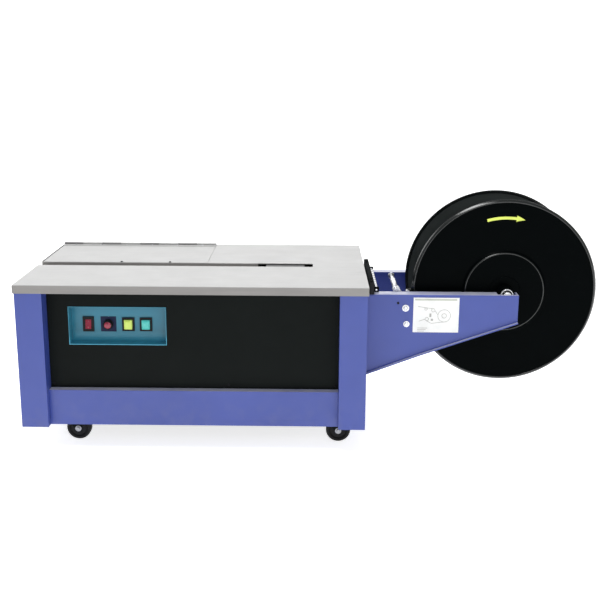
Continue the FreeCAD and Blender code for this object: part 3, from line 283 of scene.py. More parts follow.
def make_materials():
    """Every material by name: one for each slot of the record, then those of the fine pieces."""
    return {
        "blue_paint": powder_coat("powder_blue", (0.042, 0.072, 0.345), 0.40, 1500),
        "black_paint": painted("enamel_black", (0.0060, 0.0080, 0.0076), 0.36, 1200, specular=0.06),
        # the second colour is painted shade on the table's folded edge
        "table_steel": table_sheet("table_steel", (0.49, 0.49, 0.487), (0.255, 0.247, 0.240)),
        "zinc": plated("zinc", (0.74, 0.75, 0.77), 0.26),
        "machined_steel": brushed("machined_steel", (0.42, 0.42, 0.43), 0.34, 1.0),
        "teal_paint": tray_paint("enamel_teal", (0.012, 0.190, 0.285)),
        "black_plastic": moulded("reel_black", (0.0011, 0.0019, 0.0021), 0.34, bump=0.05, specular=0.02),
        "rim_black": moulded("reel_rim_black", (0.006, 0.008, 0.008), 0.20, bump=0.03, specular=0.62),
        # painted light: a lighter copy of the reel's black, for the rear flange's inner face that the top
        # light reaches
        "reel_painted_light": moulded("reel_painted_light", (0.030, 0.036, 0.035), 0.45, bump=0.05, specular=0.25),
        "dull_zinc": plated("dull_zinc", (0.42, 0.43, 0.46), 0.40),
        "scale_navy": moulded("scale_navy", (0.014, 0.020, 0.060), 0.42, bump=0.10, specular=0.15),
        "hinge_steel": brushed("hinge_steel", (0.30, 0.30, 0.30), 0.42, 0.6),
        # painted shade: a darker copy of the brushed steel for the slide plate, for the shade in the narrow
        # slot above it
        "slide_steel_painted_shade": brushed("slide_steel_painted_shade", (0.16, 0.16, 0.165), 0.42, 0.8),
        "matte_black": moulded("textured_black", (0.010, 0.010, 0.012), 0.5, bump=0.25, specular=0.2),
        "red_plastic": moulded("rocker_red", (0.30, 0.020, 0.050), 0.25, coat=0.3),
        "rocker_mark": moulded("rocker_mark", (0.45, 0.16, 0.19), 0.4, bump=0.02),
        "inlet_black": moulded("inlet_black", (0.008, 0.009, 0.010), 0.85, bump=0.10, specular=0.05),
        "yellow_plastic": moulded("key_yellow", (0.74, 0.93, 0.17), 0.28, coat=0.3),
        "green_plastic": moulded("key_green", (0.08, 0.62, 0.56), 0.28, coat=0.3),
        "motor_paint": painted("machine_grey", (0.16, 0.18, 0.20), 0.45, 900),
        "cast_grey": cast("casting_grey", (0.19, 0.20, 0.21)),
        "rubber": rubber("black_rubber", (0.02, 0.02, 0.02)),
        "wheel_rubber": rubber("wheel_rubber", (0.0035, 0.0035, 0.004), 0.6),
        "label_white": moulded("label_white", (0.90, 0.91, 0.90), 0.45, bump=0.02),
        "label_ink": moulded("label_ink", (0.42, 0.42, 0.40), 0.5, bump=0.02),
        # painted shadow on the sticker's top
        "label_painted_shadow": moulded("label_painted_shadow", (0.55, 0.57, 0.50), 0.5, bump=0.02),
        "arrow_lime": moulded("arrow_lime", (0.80, 0.92, 0.15), 0.4, bump=0.02),
    }


MATERIALS = make_materials()


# ---------------------------------------------------------------- mesh helpers

def finish_mesh(name, mesh, material, body, bevel=0.0, segments=2, smooth=True):
    """Turn a bmesh into a piece with one material, which rides a body."""
    data = bpy.data.meshes.new(name)
    bmesh.ops.recalc_face_normals(mesh, faces=mesh.faces)
    for face in mesh.faces:
        face.smooth = smooth
    mesh.to_mesh(data)
    mesh.free()
    data.materials.append(MATERIALS[material])
    piece = bpy.data.objects.new(name, data)
    bpy.context.scene.collection.objects.link(piece)
    soften(piece, bevel, segments)
    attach(piece, body)
    return piece


def soften(piece, width, segments=2):
    """Round the piece's sharp edges and keep its flat faces flat."""
    if width > 0:
        bevel = piece.modifiers.new("edge", "BEVEL")
        bevel.width = width
        bevel.segments = segments
        bevel.limit_method = "ANGLE"
        bevel.angle_limit = math.radians(32)
        bevel.harden_normals = False
        bevel.use_clamp_overlap = True
    weighted = piece.modifiers.new("shade", "WEIGHTED_NORMAL")
    weighted.keep_sharp = False
    weighted.weight = 80


TURN = {
    "X": Matrix.Rotation(math.radians(90), 4, "Y"),
    "Y": Matrix.Rotation(math.radians(-90), 4, "X"),
    "Z": Matrix.Identity(4),
}


def add_block(mesh, low, high):
    """A block between two corners, in metres."""
    middle = (Vector(low) + Vector(high)) / 2
    extent = Vector(high) - Vector(low)
    place = Matrix.Translation(middle) @ Matrix.Diagonal((*extent, 1))
    bmesh.ops.create_cube(mesh, size=1, matrix=place)


def hexagon(radius, angle):
    """The reach of a hexagon with this corner radius, at an angle."""
    wedge = math.pi / 6
    return radius * math.cos(wedge) / math.cos(angle % (2 * wedge) - wedge)


def ribbed(smooth, depth, count):
    """A shape for add_lathe: this many ribs wherever the radius is at least smooth."""
    return lambda radius, angle: radius if radius < smooth else radius + depth * math.cos(count * angle)


def add_lathe(mesh, profile, centre, axis, steps, shape=None):
    """Turn a closed profile of (radius, height) about an axis; shape gives the reach at an angle."""
    place = Matrix.Translation(Vector(centre)) @ TURN[axis]
    rings = []
    for radius, height in profile:
        if radius == 0:
            rings.append([mesh.verts.new(place @ Vector((0, 0, height)))])
            continue
        ring = []
        for step in range(steps):
            angle = 2 * math.pi * step / steps
            reach = shape(radius, angle) if shape else radius
            spot = Vector((reach * math.cos(angle), reach * math.sin(angle), height))
            ring.append(mesh.verts.new(place @ spot))
        rings.append(ring)
    for first, second in zip(rings, rings[1:] + rings[:1]):
        if len(first) == 1 and len(second) == 1:
            continue
        for step in range(steps):
            following = step + 1
            corners = [first[step % len(first)], first[following % len(first)],
                       second[following % len(second)], second[step % len(second)]]
            mesh.faces.new(list(dict.fromkeys(corners)))


def add_ring(mesh, centre, axis, radius, thickness, steps=96, sides=12):
    """A round bead bent into a ring."""
    profile = [(radius + thickness * math.cos(a), thickness * math.sin(a))
               for a in (2 * math.pi * side / sides for side in range(sides))]
    add_lathe(mesh, profile, centre, axis, steps)


def add_tube(mesh, points, radius, sides=10):
    """A round wire through points, closed at both ends."""
    path = [Vector(point) for point in points]
    side_way = Vector((0.31, 0.27, 0.91))
    rings = []
    for index, point in enumerate(path):
        along = (path[min(index + 1, len(path) - 1)] - path[max(index - 1, 0)]).normalized()
        first = (side_way - side_way.dot(along) * along).normalized()
        second = along.cross(first)
        side_way = first
        rings.append([mesh.verts.new(point + radius * (math.cos(a) * first + math.sin(a) * second))
                      for a in (2 * math.pi * side / sides for side in range(sides))])
    for first, second in zip(rings, rings[1:]):
        for side in range(sides):
            following = (side + 1) % sides
            mesh.faces.new((first[side], first[following], second[following], second[side]))
    mesh.faces.new(rings[0])
    mesh.faces.new(rings[-1])


def helix(centre, axis, radius, length, turns, per_turn=20):
    """Points of a coil that starts at centre and runs along an axis."""
    place = Matrix.Translation(Vector(centre)) @ TURN[axis]
    count = int(turns * per_turn)
    return [place @ Vector((radius * math.cos(2 * math.pi * i / per_turn),
                            radius * math.sin(2 * math.pi * i / per_turn), length * i / count))
            for i in range(count + 1)]


def add_band(mesh, inner, outer, near, far):
    """A flat strip between two lists of (x, z) points, from one y to another."""
    loops = []
    for y in (near, far):
        loops.append([[mesh.verts.new((x, y, z)) for x, z in line] for line in (inner, outer)])
    (a, b), (c, d) = loops
    last = len(inner) - 1
    for i in range(last):
        mesh.faces.new((a[i], a[i + 1], b[i + 1], b[i]))
        mesh.faces.new((c[i], d[i], d[i + 1], c[i + 1]))
        mesh.faces.new((a[i], c[i], c[i + 1], a[i + 1]))
        mesh.faces.new((b[i], b[i + 1], d[i + 1], d[i]))
    mesh.faces.new((a[0], b[0], d[0], c[0]))
    mesh.faces.new((a[last], c[last], d[last], b[last]))


def add_arc(mesh, centre, radius, stations, near, far):
    """A flat strip along a circle about (x, z); each station is an angle in degrees and a half width."""
    inner, outer = [], []
    for degrees, half in stations:
        angle = math.radians(degrees)
        for line, reach in ((inner, radius - half), (outer, radius + half)):
            line.append((centre[0] + reach * math.sin(angle), centre[1] + reach * math.cos(angle)))
    add_band(mesh, inner, outer, near, far)


def rounded(profile, radius, steps=4):
    """Round every corner of a closed (x, y) profile with an arc of up to this radius."""
    points = []
    count = len(profile)
    for index, corner in enumerate(profile):
        before, after = Vector(profile[index - 1]), Vector(profile[(index + 1) % count])
        corner = Vector(corner)
        reach = min(radius, (before - corner).length * 0.45, (after - corner).length * 0.45)
        start = corner + (before - corner).normalized() * reach
        end = corner + (after - corner).normalized() * reach
        for step in range(steps + 1):
            t = step / steps
            points.append(tuple((1 - t) ** 2 * start + 2 * t * (1 - t) * corner + t * t * end))
    return points


def add_bolt(mesh, centre, axis, radius, height, outward=1):
    """A hexagon bolt head with a chamfered crown, on a washer."""
    washer = [(0, 0), (radius * 1.4, 0), (radius * 1.4, 0.0014 * outward), (0, 0.0014 * outward)]
    add_lathe(mesh, washer, centre, axis, 32)
    head = [(0, 0.0012 * outward), (radius, 0.0012 * outward), (radius, (height - 0.0014) * outward),
            (radius * 0.84, height * outward), (radius * 0.5, height * outward),
            (radius * 0.44, (height - 0.0005) * outward), (0, (height - 0.0005) * outward)]
    add_lathe(mesh, head, centre, axis, 36, hexagon)


def add_screw(mesh, centre, axis, radius, outward=1):
    """A button-head screw with a hexagon socket."""
    rise = radius * 0.6 * outward
    head = [(0, 0), (radius, 0), (radius, rise * 0.25), (radius * 0.85, rise * 0.72), (radius * 0.6, rise),
            (radius * 0.46, rise), (radius * 0.42, rise * 0.35), (0, rise * 0.3)]

    def shape(reach, angle):
        return reach if reach > radius * 0.5 else hexagon(reach, angle)

    add_lathe(mesh, head, centre, axis, 24, shape)


# ---------------------------------------------------------------- CAD nodes: finish and edges

SLOT_OF = {row["node"]: row["material_slot"] for row in frame["record"]["subparts"]}
FINE_EDGE = {"table_plate": 0.0012, "table_lid": 0.0012, "front_panel": 0.0004, "rear_panel": 0.0004,
             "left_side_panel": 0.0004, "strap_guide_channel": 0.0004, "lid_hinge": 0.0004,
             "control_bezels": 0.0006, "reset_button": 0.0016, "feed_button": 0.0016, "base_plate": 0.0006,
             "power_rocker": 0.0010, "reel_front_flange": 0.0006, "reel_rear_flange": 0.0006}


def dress_cad_nodes():
    """Give every CAD node its material, and a small radius on its sharp edges."""
    # the slide plate's darker steel is painted shade of the slot
    darker = {"lid_hinge": "hinge_steel", "slide_plate": "slide_steel_painted_shade", "strap_inlet_guide": "inlet_black"}
    for name, piece in NODES.items():
        piece.data.materials.clear()
        piece.data.materials.append(MATERIALS[darker.get(name, SLOT_OF[name])])
        weld = piece.modifiers.new("weld", "WELD")
        weld.merge_threshold = 1e-5
        flat = piece.modifiers.new("flat", "DECIMATE")
        flat.decimate_type = "DISSOLVE"
        flat.angle_limit = math.radians(0.6)
        soften(piece, FINE_EDGE.get(name, 0.0008))


# ---------------------------------------------------------------- fine pieces: reel

def middle_of(node):
    low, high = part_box(node)
    return tuple((a + b) / 2 for a, b in zip(low, high))


def add_flange(mesh, centre, outwards):
    """A moulded reel flange: flat disc, soft step and raised middle, as one turned shell."""
    profile = [(0.0201, 0.0080), (0.1010, 0.0080), (0.1040, 0.0076), (0.1062, 0.0064), (0.1078, 0.0040),
               (0.1090, 0.0016), (0.1106, 0.0003), (0.1130, 0), (0.2300, 0), (0.2370, 0.0004),
               (0.2395, 0.0004), (0.2395, -0.0044), (0.2370, -0.0044), (0.2300, -0.0040), (0.1080, -0.0040),
               (0.1060, -0.0034), (0.1046, -0.0016), (0.1034, 0.0024), (0.1014, 0.0040), (0.0201, 0.0040)]
    add_lathe(mesh, [(radius, height * outwards) for radius, height in profile], centre, "Y", 192)


def make_reel_details():
    """Turned flanges with rolled rims and a beaded step, the rear one in a lighter black of painted light, the
    direction arrow and the hub's rings.
    """
    x, _, z = middle_of("reel_front_flange")
    raised = 0.008
    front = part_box("reel_front_flange")[0][1] + raised
    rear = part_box("reel_rear_flange")[1][1] - raised
    # the rear flange takes the lighter black of painted light
    for side, face, outwards, finish in (("front", front, -1, "black_plastic"),
                                         ("rear", rear, 1, "reel_painted_light")):
        disc = bmesh.new()
        add_flange(disc, (x, face, z), outwards)
        flange = finish_mesh(f"reel_disc_{side}", disc, finish, "reel")
        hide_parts(f"reel_{side}_flange")
        rim = bmesh.new()
        outline = [(0.2362, -0.0050), (0.2376, -0.0060), (0.2442, -0.0060), (0.2450, -0.0053),
                   (0.2431, -0.0020), (0.2404, 0.0014), (0.2392, 0.0021), (0.2378, 0.0021), (0.2366, 0.0012),
                   (0.2362, 0)]
        add_lathe(rim, [(radius, height * outwards) for radius, height in outline], (x, face, z), "Y", 192)
        finish_mesh(f"reel_rim_{side}", rim, "rim_black", "reel")
        step = bmesh.new()
        outline = [(0.1016, 0.0072), (0.1022, 0.0083), (0.1036, 0.0085), (0.1052, 0.0077), (0.1078, 0.0032),
                   (0.1094, -0.0002), (0.1030, -0.0002)]
        add_lathe(step, [(radius, height * outwards) for radius, height in outline], (x, face, z), "Y", 160)
        finish_mesh(f"reel_step_{side}", step, "rim_black", "reel")
        hub = bmesh.new()
        add_ring(hub, (x, face + 0.0078 * outwards, z), "Y", 0.0420, 0.0012, 96, 8)
        finish_mesh(f"reel_hub_ring_{side}", hub, "black_plastic", "reel")
    arrow = bmesh.new()
    reach = 0.1965
    shaft = [(-15.5 + 0.96 * step, 0.0037) for step in range(25)]
    head = [(7 + 1.1 * step, 0.0078 * (1 - step / 6) + 0.0002) for step in range(7)]
    add_arc(arrow, (x, z), reach, shaft, front - 0.0006, front + 0.0002)
    add_arc(arrow, (x, z), reach, head, front - 0.0007, front + 0.0002)
    finish_mesh("direction_arrow", arrow, "arrow_lime", "reel", smooth=False)


def make_axle_details():
    """A bright ring round each fixed collar, its dark face, and the axle's chamfered ends."""
    x, _, z = middle_of("reel_axle")
    low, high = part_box("reel_axle")
    for side, end, outwards in (("front", low[1], -1), ("rear", high[1], 1)):
        collar = end - 0.006 * outwards
        face = bmesh.new()
        add_lathe(face, [(0.0103, 0), (0.0142, 0), (0.0142, 0.0004 * outwards), (0.0103, 0.0004 * outwards)],
                  (x, collar, z), "Y", 64)
        finish_mesh(f"collar_face_{side}", face, "matte_black", "frame")
        ring = bmesh.new()
        add_ring(ring, (x, collar - 0.0006 * outwards, z), "Y", 0.0157, 0.0013, 72, 10)
        add_lathe(ring, [(0, 0), (0.0082, 0), (0.0096, -0.0014 * outwards), (0.0096, -0.003 * outwards),
                         (0, -0.003 * outwards)], (x, end + 0.0003 * outwards, z), "Y", 40)
        finish_mesh(f"collar_ring_{side}", ring, "zinc", "frame")


# ---------------------------------------------------------------- fine pieces: arms and strap inlet

FRONT_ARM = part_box("front_reel_arm")
LIP = 0.010                             # how far an arm's folded lips stand out from its web
ARM_X = FRONT_ARM[0][0]
WEB_FRONT = FRONT_ARM[0][1] + LIP
WEB_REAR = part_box("rear_reel_arm")[1][1] - LIP
PIVOT = (ARM_X + 0.108, 0.367)          # x and z of the brake lever's stud


def make_arm_bolts():
    """Hexagon bolts with washers, in place of the plain heads, and the lever's shouldered stud."""
    bolts = bmesh.new()
    for y in (WEB_FRONT + 0.015, WEB_REAR - 0.015):
        for z in (0.215, 0.290, 0.370):     # the three bolts of each arm's foot, from the lowest
            add_bolt(bolts, (ARM_X + 0.003, y, z), "X", 0.008, 0.0055)
    for (x, z), radius in ((PIVOT, 0.0066), ((PIVOT[0] + 0.003, 0.324), 0.0058)):
        add_bolt(bolts, (x, WEB_FRONT, z), "Y", radius, 0.0058, -1)
        add_bolt(bolts, (x, WEB_REAR, z), "Y", radius, 0.0058)
    start = WEB_FRONT + 0.003
    add_lathe(bolts, [(0, 0), (0.0092, 0), (0.0092, 0.0015), (0.006, 0.002), (0.006, 0.0385),
                      (0.0072, 0.0387), (0.0072, 0.0405), (0.004, 0.0412), (0, 0.0412)],
              (PIVOT[0], start, PIVOT[1]), "Y", 40)
    bolt_set = finish_mesh("arm_bolt_set", bolts, "zinc", "frame", bevel=0.0003)
    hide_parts("arm_bolts")
    dots = bmesh.new()
    add_screw(dots, (ARM_X + 0.088, WEB_FRONT, 0.3805), "Y", 0.0034, -1)
    finish_mesh("arm_small_screw", dots, "matte_black", "frame")


def make_label():
    """A plain sticker on the front arm: a grey strip of painted shadow under its top edge, and a faint sketch
    of the strap's path.
    """
    left, width = ARM_X + 0.1280, 0.1194
    low, tall = 0.3020, 0.0935
    y = WEB_FRONT
    sheet = bmesh.new()
    add_block(sheet, (left, y - 0.0004, low), (left + width, y + 0.0001, low + tall))
    finish_mesh("threading_label", sheet, "label_white", "frame")
    # painted shadow: a grey strip under the sticker's top edge, for the shadow of the arm's top fold
    head = bmesh.new()
    add_block(head, (left + 0.004, y - 0.0006, low + tall - 0.0075),
              (left + width - 0.006, y - 0.0003, low + tall - 0.0030))
    finish_mesh("threading_label_top_shadow", head, "label_painted_shadow", "frame")
    ink = bmesh.new()
    wire = 0.0006
    for x, z, radius in ((0.081, 0.045, 0.0165), (0.081, 0.045, 0.006), (0.036, 0.036, 0.0045),
                         (0.052, 0.060, 0.0045), (0.033, 0.063, 0.0030)):
        add_ring(ink, (left + x, y - 0.0005, low + z), "Y", radius, wire, 48, 6)
    for path in (((0.012, 0.070), (0.033, 0.0665), (0.0495, 0.0645)), ((0.0565, 0.0595), (0.064, 0.048)),
                 ((0.081, 0.0285), (0.048, 0.0245), (0.036, 0.0310)), ((0.0315, 0.036), (0.015, 0.030))):
        add_tube(ink, [(left + x, y - 0.0005, low + z) for x, z in path], wire, 6)
    blocks = [(0.0425, 0.0415, 0.0475, 0.0510), (0.0465, 0.0315, 0.0525, 0.0370)]
    blocks += [(0.012, 0.011 - 0.0042 * row, 0.038 - 0.004 * row, 0.0122 - 0.0042 * row) for row in range(3)]
    for x0, z0, x1, z1 in blocks:
        add_block(ink, (left + x0, y - 0.0006, low + z0), (left + x1, y - 0.0003, low + z1))
    finish_mesh("threading_label_sketch", ink, "label_ink", "frame", smooth=False)


def make_brake_details():
    """The brake's torsion spring, and the collars and sleeve of the rod that the strap runs over."""
    spring = bmesh.new()
    start = WEB_FRONT + 0.0055
    coil = helix((PIVOT[0], start, PIVOT[1]), "Y", 0.0085, 0.0245, 8)
    add_tube(spring, coil, 0.0012)
    tail = coil[0]
    add_tube(spring, [tail, tail + Vector((0.004, 0, -0.010)), tail + Vector((0.005, 0, -0.028))], 0.0012)
    spring_piece = finish_mesh("brake_coil_spring", spring, "machined_steel", "frame")
    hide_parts("brake_spring")
    rod_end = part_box("brake_lever")[1][1]
    rod = (ARM_X + 0.084, 0.410)
    rings = bmesh.new()
    for y in (WEB_FRONT + 0.0425, rod_end - 0.004):
        add_lathe(rings, [(0.0044, 0), (0.0085, 0), (0.0092, 0.0008), (0.0092, 0.0032), (0.0085, 0.004),
                          (0.0044, 0.004)], (rod[0], y, rod[1]), "Y", 40)
    finish_mesh("dancer_collars", rings, "zinc", "brake")
    sleeve = bmesh.new()
    add_lathe(sleeve, [(0.0046, 0.062), (0.0064, 0.062), (0.0072, 0.066), (0.0072, 0.140), (0.0064, 0.144),
                       (0.0046, 0.144)], (rod[0], WEB_FRONT, rod[1]), "Y", 40)
    finish_mesh("dancer_sleeve", sleeve, "zinc", "brake")


def make_inlet_details():
    """End caps and screws of the inlet tube, and the ribs of its roller."""
    low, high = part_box("strap_inlet_guide")
    tube_width = 0.012
    tube = (low[0], low[0] + tube_width)
    caps = bmesh.new()
    for y, way in ((low[1], -1), (high[1], 1)):
        add_block(caps, (tube[0] + 0.0003, min(y, y + 0.0024 * way), low[2] + 0.0003),
                  (tube[1] - 0.0003, max(y, y + 0.0024 * way), high[2] - 0.0003))
    finish_mesh("inlet_tube_caps", caps, "matte_black", "frame", bevel=0.001)
    screws = bmesh.new()
    for y in (low[1] + 0.014, low[1] + 0.045, high[1] - 0.045, high[1] - 0.014):
        add_screw(screws, ((tube[0] + tube[1]) / 2, y, high[2]), "Z", 0.0042)
    finish_mesh("inlet_tube_screws", screws, "inlet_black", "frame")
    roller = middle_of("inlet_roller")
    rings = bmesh.new()
    for index in range(9):
        add_ring(rings, (roller[0], roller[1] - 0.096 + 0.024 * index, roller[2]), "Y", 0.0052, 0.0009, 40, 8)
    finish_mesh("inlet_roller_ribs", rings, "matte_black", "inlet_roll")


# ---------------------------------------------------------------- fine pieces: controls

def make_knob_details():
    """The knob's dial ticks and scale plate, its fluted grip, and its cap with a pointer."""
    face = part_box("control_bezels")[1][1]
    knob = middle_of("feed_length_knob")
    ticks = bmesh.new()
    for index in range(11):
        angle = math.radians(-135 + 27 * index)
        length = 0.0016 if index % 5 else 0.0026
        for part in range(2):
            reach = 0.0176 + part * length
            spot = (knob[0] + reach * math.sin(angle), face - 0.0009, knob[2] + reach * math.cos(angle))
            add_ring(ticks, spot, "Y", 0.0003, 0.00025, 8, 6)
    finish_mesh("dial_ticks", ticks, "label_white", "frame")
    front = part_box("feed_length_knob")[0][1]
    scale = bmesh.new()
    half = 0.0203
    add_block(scale, (knob[0] - half, face - 0.0012, knob[2] - half),
              (knob[0] + half, face + 0.0004, knob[2] + half))
    finish_mesh("knob_scale_plate", scale, "scale_navy", "frame", bevel=0.0012, segments=3)
    grip = bmesh.new()
    add_lathe(grip, [(0.0095, 0.0002), (0.0117, 0.0016), (0.0121, 0.0030), (0.0121, 0.0088), (0.0112, 0.0098),
                     (0.0095, 0.0098)], (knob[0], front, knob[2]), "Y", 112, ribbed(0.010, 0.0005, 14))
    finish_mesh("knob_grip", grip, "matte_black", "length_knob")
    cap = bmesh.new()
    add_lathe(cap, [(0, -0.0016), (0.005, -0.0015), (0.0080, -0.0009), (0.0094, 0.0004), (0.0096, 0.0014),
                    (0, 0.0014)], (knob[0], front, knob[2]), "Y", 72)
    finish_mesh("knob_cap", cap, "red_plastic", "length_knob")
    pointer = bmesh.new()
    add_block(pointer, (knob[0] - 0.0006, front - 0.0018, knob[2] + 0.0010),
              (knob[0] + 0.0006, front - 0.0002, knob[2] + 0.0068))
    finish_mesh("knob_pointer", pointer, "matte_black", "length_knob", bevel=0.0002)


def make_switch_details():
    """The two keys' domed lenses and the rocker's raised marks."""
    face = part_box("control_bezels")[1][1]
    inset = rise = 0.0018
    for key, body, slot in (("feed_button", "feed_key", "yellow_plastic"),
                            ("reset_button", "reset_key", "green_plastic")):
        low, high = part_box(key)
        dome = bmesh.new()
        add_dome(dome, (low[0] + inset, high[0] - inset), (low[2] + inset, high[2] - inset),
                 low[1] + 0.0003, rise)
        finish_mesh(f"{key}_lens", dome, slot, body)
    low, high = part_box("power_rocker")
    x = (low[0] + high[0]) / 2
    marks = bmesh.new()
    z = (low[2] + high[2]) / 2
    add_ring(marks, (x, face - 0.0067, z - 0.0076), "Y", 0.0016, 0.0003, 32, 8)
    add_block(marks, (x - 0.0003, face - 0.0040, z + 0.0062), (x + 0.0003, face - 0.0030, z + 0.0092))
    finish_mesh("rocker_marks", marks, "rocker_mark", "rocker")


def add_dome(mesh, across, up, level, rise, steps=12):
    """A cushion-shaped cap over a rectangle that faces -Y."""
    grid = []
    for row in range(steps + 1):
        line = []
        v = row / steps
        for column in range(steps + 1):
            u = column / steps
            swell = (1 - (2 * u - 1) ** 4) * (1 - (2 * v - 1) ** 4)
            x, z = across[0] + (across[1] - across[0]) * u, up[0] + (up[1] - up[0]) * v
            line.append(mesh.verts.new((x, level - rise * math.sqrt(swell), z)))
        grid.append(line)
    edge = ([grid[0][i] for i in range(steps)] + [grid[i][steps] for i in range(steps)]
            + [grid[steps][i] for i in range(steps, 0, -1)] + [grid[i][0] for i in range(steps, 0, -1)])
    base = [mesh.verts.new((vert.co.x, level + 0.0012, vert.co.z)) for vert in edge]
    for row in range(steps):
        for column in range(steps):
            mesh.faces.new((grid[row][column], grid[row][column + 1], grid[row + 1][column + 1],
                            grid[row + 1][column]))
    for index in range(len(edge)):
        following = (index + 1) % len(edge)
        mesh.faces.new((edge[index], base[index], base[following], edge[following]))
    mesh.faces.new(base)


# ---------------------------------------------------------------- fine pieces: cabinet and table

def make_cabinet_screws():
    """Button-head screws that hold the front, rear and side covers."""
    panel_low, panel_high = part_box("front_panel")
    rear_low, rear_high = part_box("rear_panel")
    dark = bmesh.new()
    for x in (panel_low[0] + 0.009, (panel_low[0] + panel_high[0]) / 2 + 0.09, panel_high[0] - 0.009):
        for z in (panel_low[2] + 0.010, panel_high[2] - 0.024):
            add_screw(dark, (x, panel_low[1], z), "Y", 0.0034, -1)
    for x in (rear_low[0] + 0.010, (rear_low[0] + rear_high[0]) / 2, rear_high[0] - 0.010):
        for z in (rear_low[2] + 0.010, rear_high[2] - 0.012):
            add_screw(dark, (x, rear_high[1], z), "Y", 0.0036)
    side_low, side_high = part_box("left_side_panel")
    for y in (side_low[1] + 0.012, 0.0, side_high[1] - 0.012):
        for z in (side_low[2] + 0.010, side_high[2] - 0.012):
            add_screw(dark, (side_low[0], y, z), "X", 0.0036, -1)
    finish_mesh("cover_screws", dark, "matte_black", "frame")
    bright = bmesh.new()
    plate_low, plate_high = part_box("right_side_panel")
    for y in (plate_low[1] + 0.012, plate_high[1] - 0.012):
        for z in (plate_low[2] + 0.020, plate_high[2] - 0.060):
            add_screw(bright, (plate_high[0], y, z), "X", 0.0042)
    finish_mesh("side_plate_screws", bright, "zinc", "frame")


def make_dust_seal():
    """A rubber strip that closes the slit between the rear cover's top and the table's folded edge."""
    panel_low, panel_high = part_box("rear_panel")
    fold = 0.0022
    seal = bmesh.new()
    add_block(seal, (panel_low[0], panel_high[1], panel_high[2] - 0.0045),
              (panel_high[0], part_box("table_plate")[1][1] - fold, panel_high[2] - 0.0015))
    finish_mesh("rear_dust_seal", seal, "rubber", "frame", bevel=0.0006)


def make_table_details():
    """A black strip of painted shade along the lid's left edge, its two front screws, and the screws of both
    hinge leaves.
    """
    low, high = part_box("table_lid")
    # painted shade: a thin black strip along the lid's left edge, for the shade at the step where the lid
    # meets the table
    shade_strip = bmesh.new()
    y0, y1 = low[1] + 0.002, high[1] - 0.020
    add_block(shade_strip, (low[0], y0, TABLE_TOP - 0.0002), (low[0] + 0.0030, y1, TABLE_TOP + 0.0011))
    finish_mesh("lid_edge_shade_strip", shade_strip, "matte_black", "lid", bevel=0.0005)
    screws = bmesh.new()
    for x in (-0.5313, -0.3966):
        add_screw(screws, (x, low[1] + 0.0040, TABLE_TOP), "Z", 0.0036)
    finish_mesh("lid_front_screws", screws, "matte_black", "lid")
    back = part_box("lid_hinge")[1][1]
    for leaf, body, y, z in (("lid", "lid", high[1] - 0.0145, TABLE_TOP + 0.0015),
                             ("fixed", "frame", back - 0.0070, TABLE_TOP)):
        hinge = bmesh.new()
        for index in range(6):
            x = low[0] + 0.040 + index * (high[0] - low[0] - 0.080) / 5
            add_screw(hinge, (x, y, z), "Z", 0.0022)
        finish_mesh(f"hinge_screws_{leaf}", hinge, "zinc", body)


def make_gland_details():
    """The gland's ribbed cap."""
    x, _, z = middle_of("cable_gland")
    cap = bmesh.new()
    profile = [(0.0062, -0.0145), (0.0105, -0.0145), (0.0111, -0.0135), (0.0111, -0.0045), (0.0098, -0.0012),
               (0.0062, 0)]
    add_lathe(cap, profile, (x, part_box("cable_gland")[1][1] - 0.0064, z), "Y", 96, ribbed(0.010, 0.0004, 16))
    finish_mesh("gland_cap_grip", cap, "matte_black", "frame")


# ---------------------------------------------------------------- fine pieces: casters

def make_caster_details():
    """Hubs, tread beads, axle nuts, mounting bolts, swivel races and, in front, the brake pedals."""
    trail, plate_underside, race_height = 0.0295, 0.087, 0.0783
    for corner in ("front_left", "front_right", "rear_left", "rear_right"):
        x, y, z = middle_of(f"caster_wheel_{corner}")
        wheel_body, fork_body = f"wheel_{corner}", f"fork_{corner}"
        hub = bmesh.new()
        for way in (-1, 1):
            add_lathe(hub, [(0.0060, 0), (0.0195, 0), (0.0195, 0.0012 * way), (0.0165, 0.0024 * way),
                            (0.0100, 0.0016 * way), (0.0080, 0.0030 * way), (0.0060, 0.0030 * way)],
                      (x, y + 0.0092 * way, z), "Y", 48)
            for spoke in range(6):
                angle = math.pi / 3 * spoke
                spot = (x + 0.0135 * math.cos(angle), y + 0.0112 * way, z + 0.0135 * math.sin(angle))
                add_ring(hub, spot, "Y", 0.0020, 0.0006, 20, 6)
        finish_mesh(f"wheel_hub_{corner}", hub, "matte_black", wheel_body)
        tread = bmesh.new()
        for offset in (-0.0046, 0.0, 0.0046):
            add_ring(tread, (x, y + offset, z), "Y", 0.0316, 0.00088, 72, 8)
        finish_mesh(f"wheel_tread_{corner}", tread, "wheel_rubber", wheel_body)
        nuts = bmesh.new()
        for way in (-1, 1):
            add_bolt(nuts, (x, y + 0.0165 * way, z), "Y", 0.0058, 0.0040, way)
        finish_mesh(f"fork_nuts_{corner}", nuts, "dull_zinc", fork_body)
        plate = (x - trail, y)
        bolts = bmesh.new()
        for dx in (-0.024, 0.024):
            for dy in (-0.0205, 0.0205):
                add_bolt(bolts, (plate[0] + dx, plate[1] + dy, plate_underside), "Z", 0.0048, 0.0045, -1)
        finish_mesh(f"caster_bolts_{corner}", bolts, "zinc", "frame")
        race = bmesh.new()
        add_ring(race, (*plate, race_height), "Z", 0.0185, 0.0010, 64, 8)
        finish_mesh(f"caster_race_{corner}", race, "machined_steel", fork_body)
        if corner.startswith("front"):
            make_pedal(corner, x, y, z, fork_body)


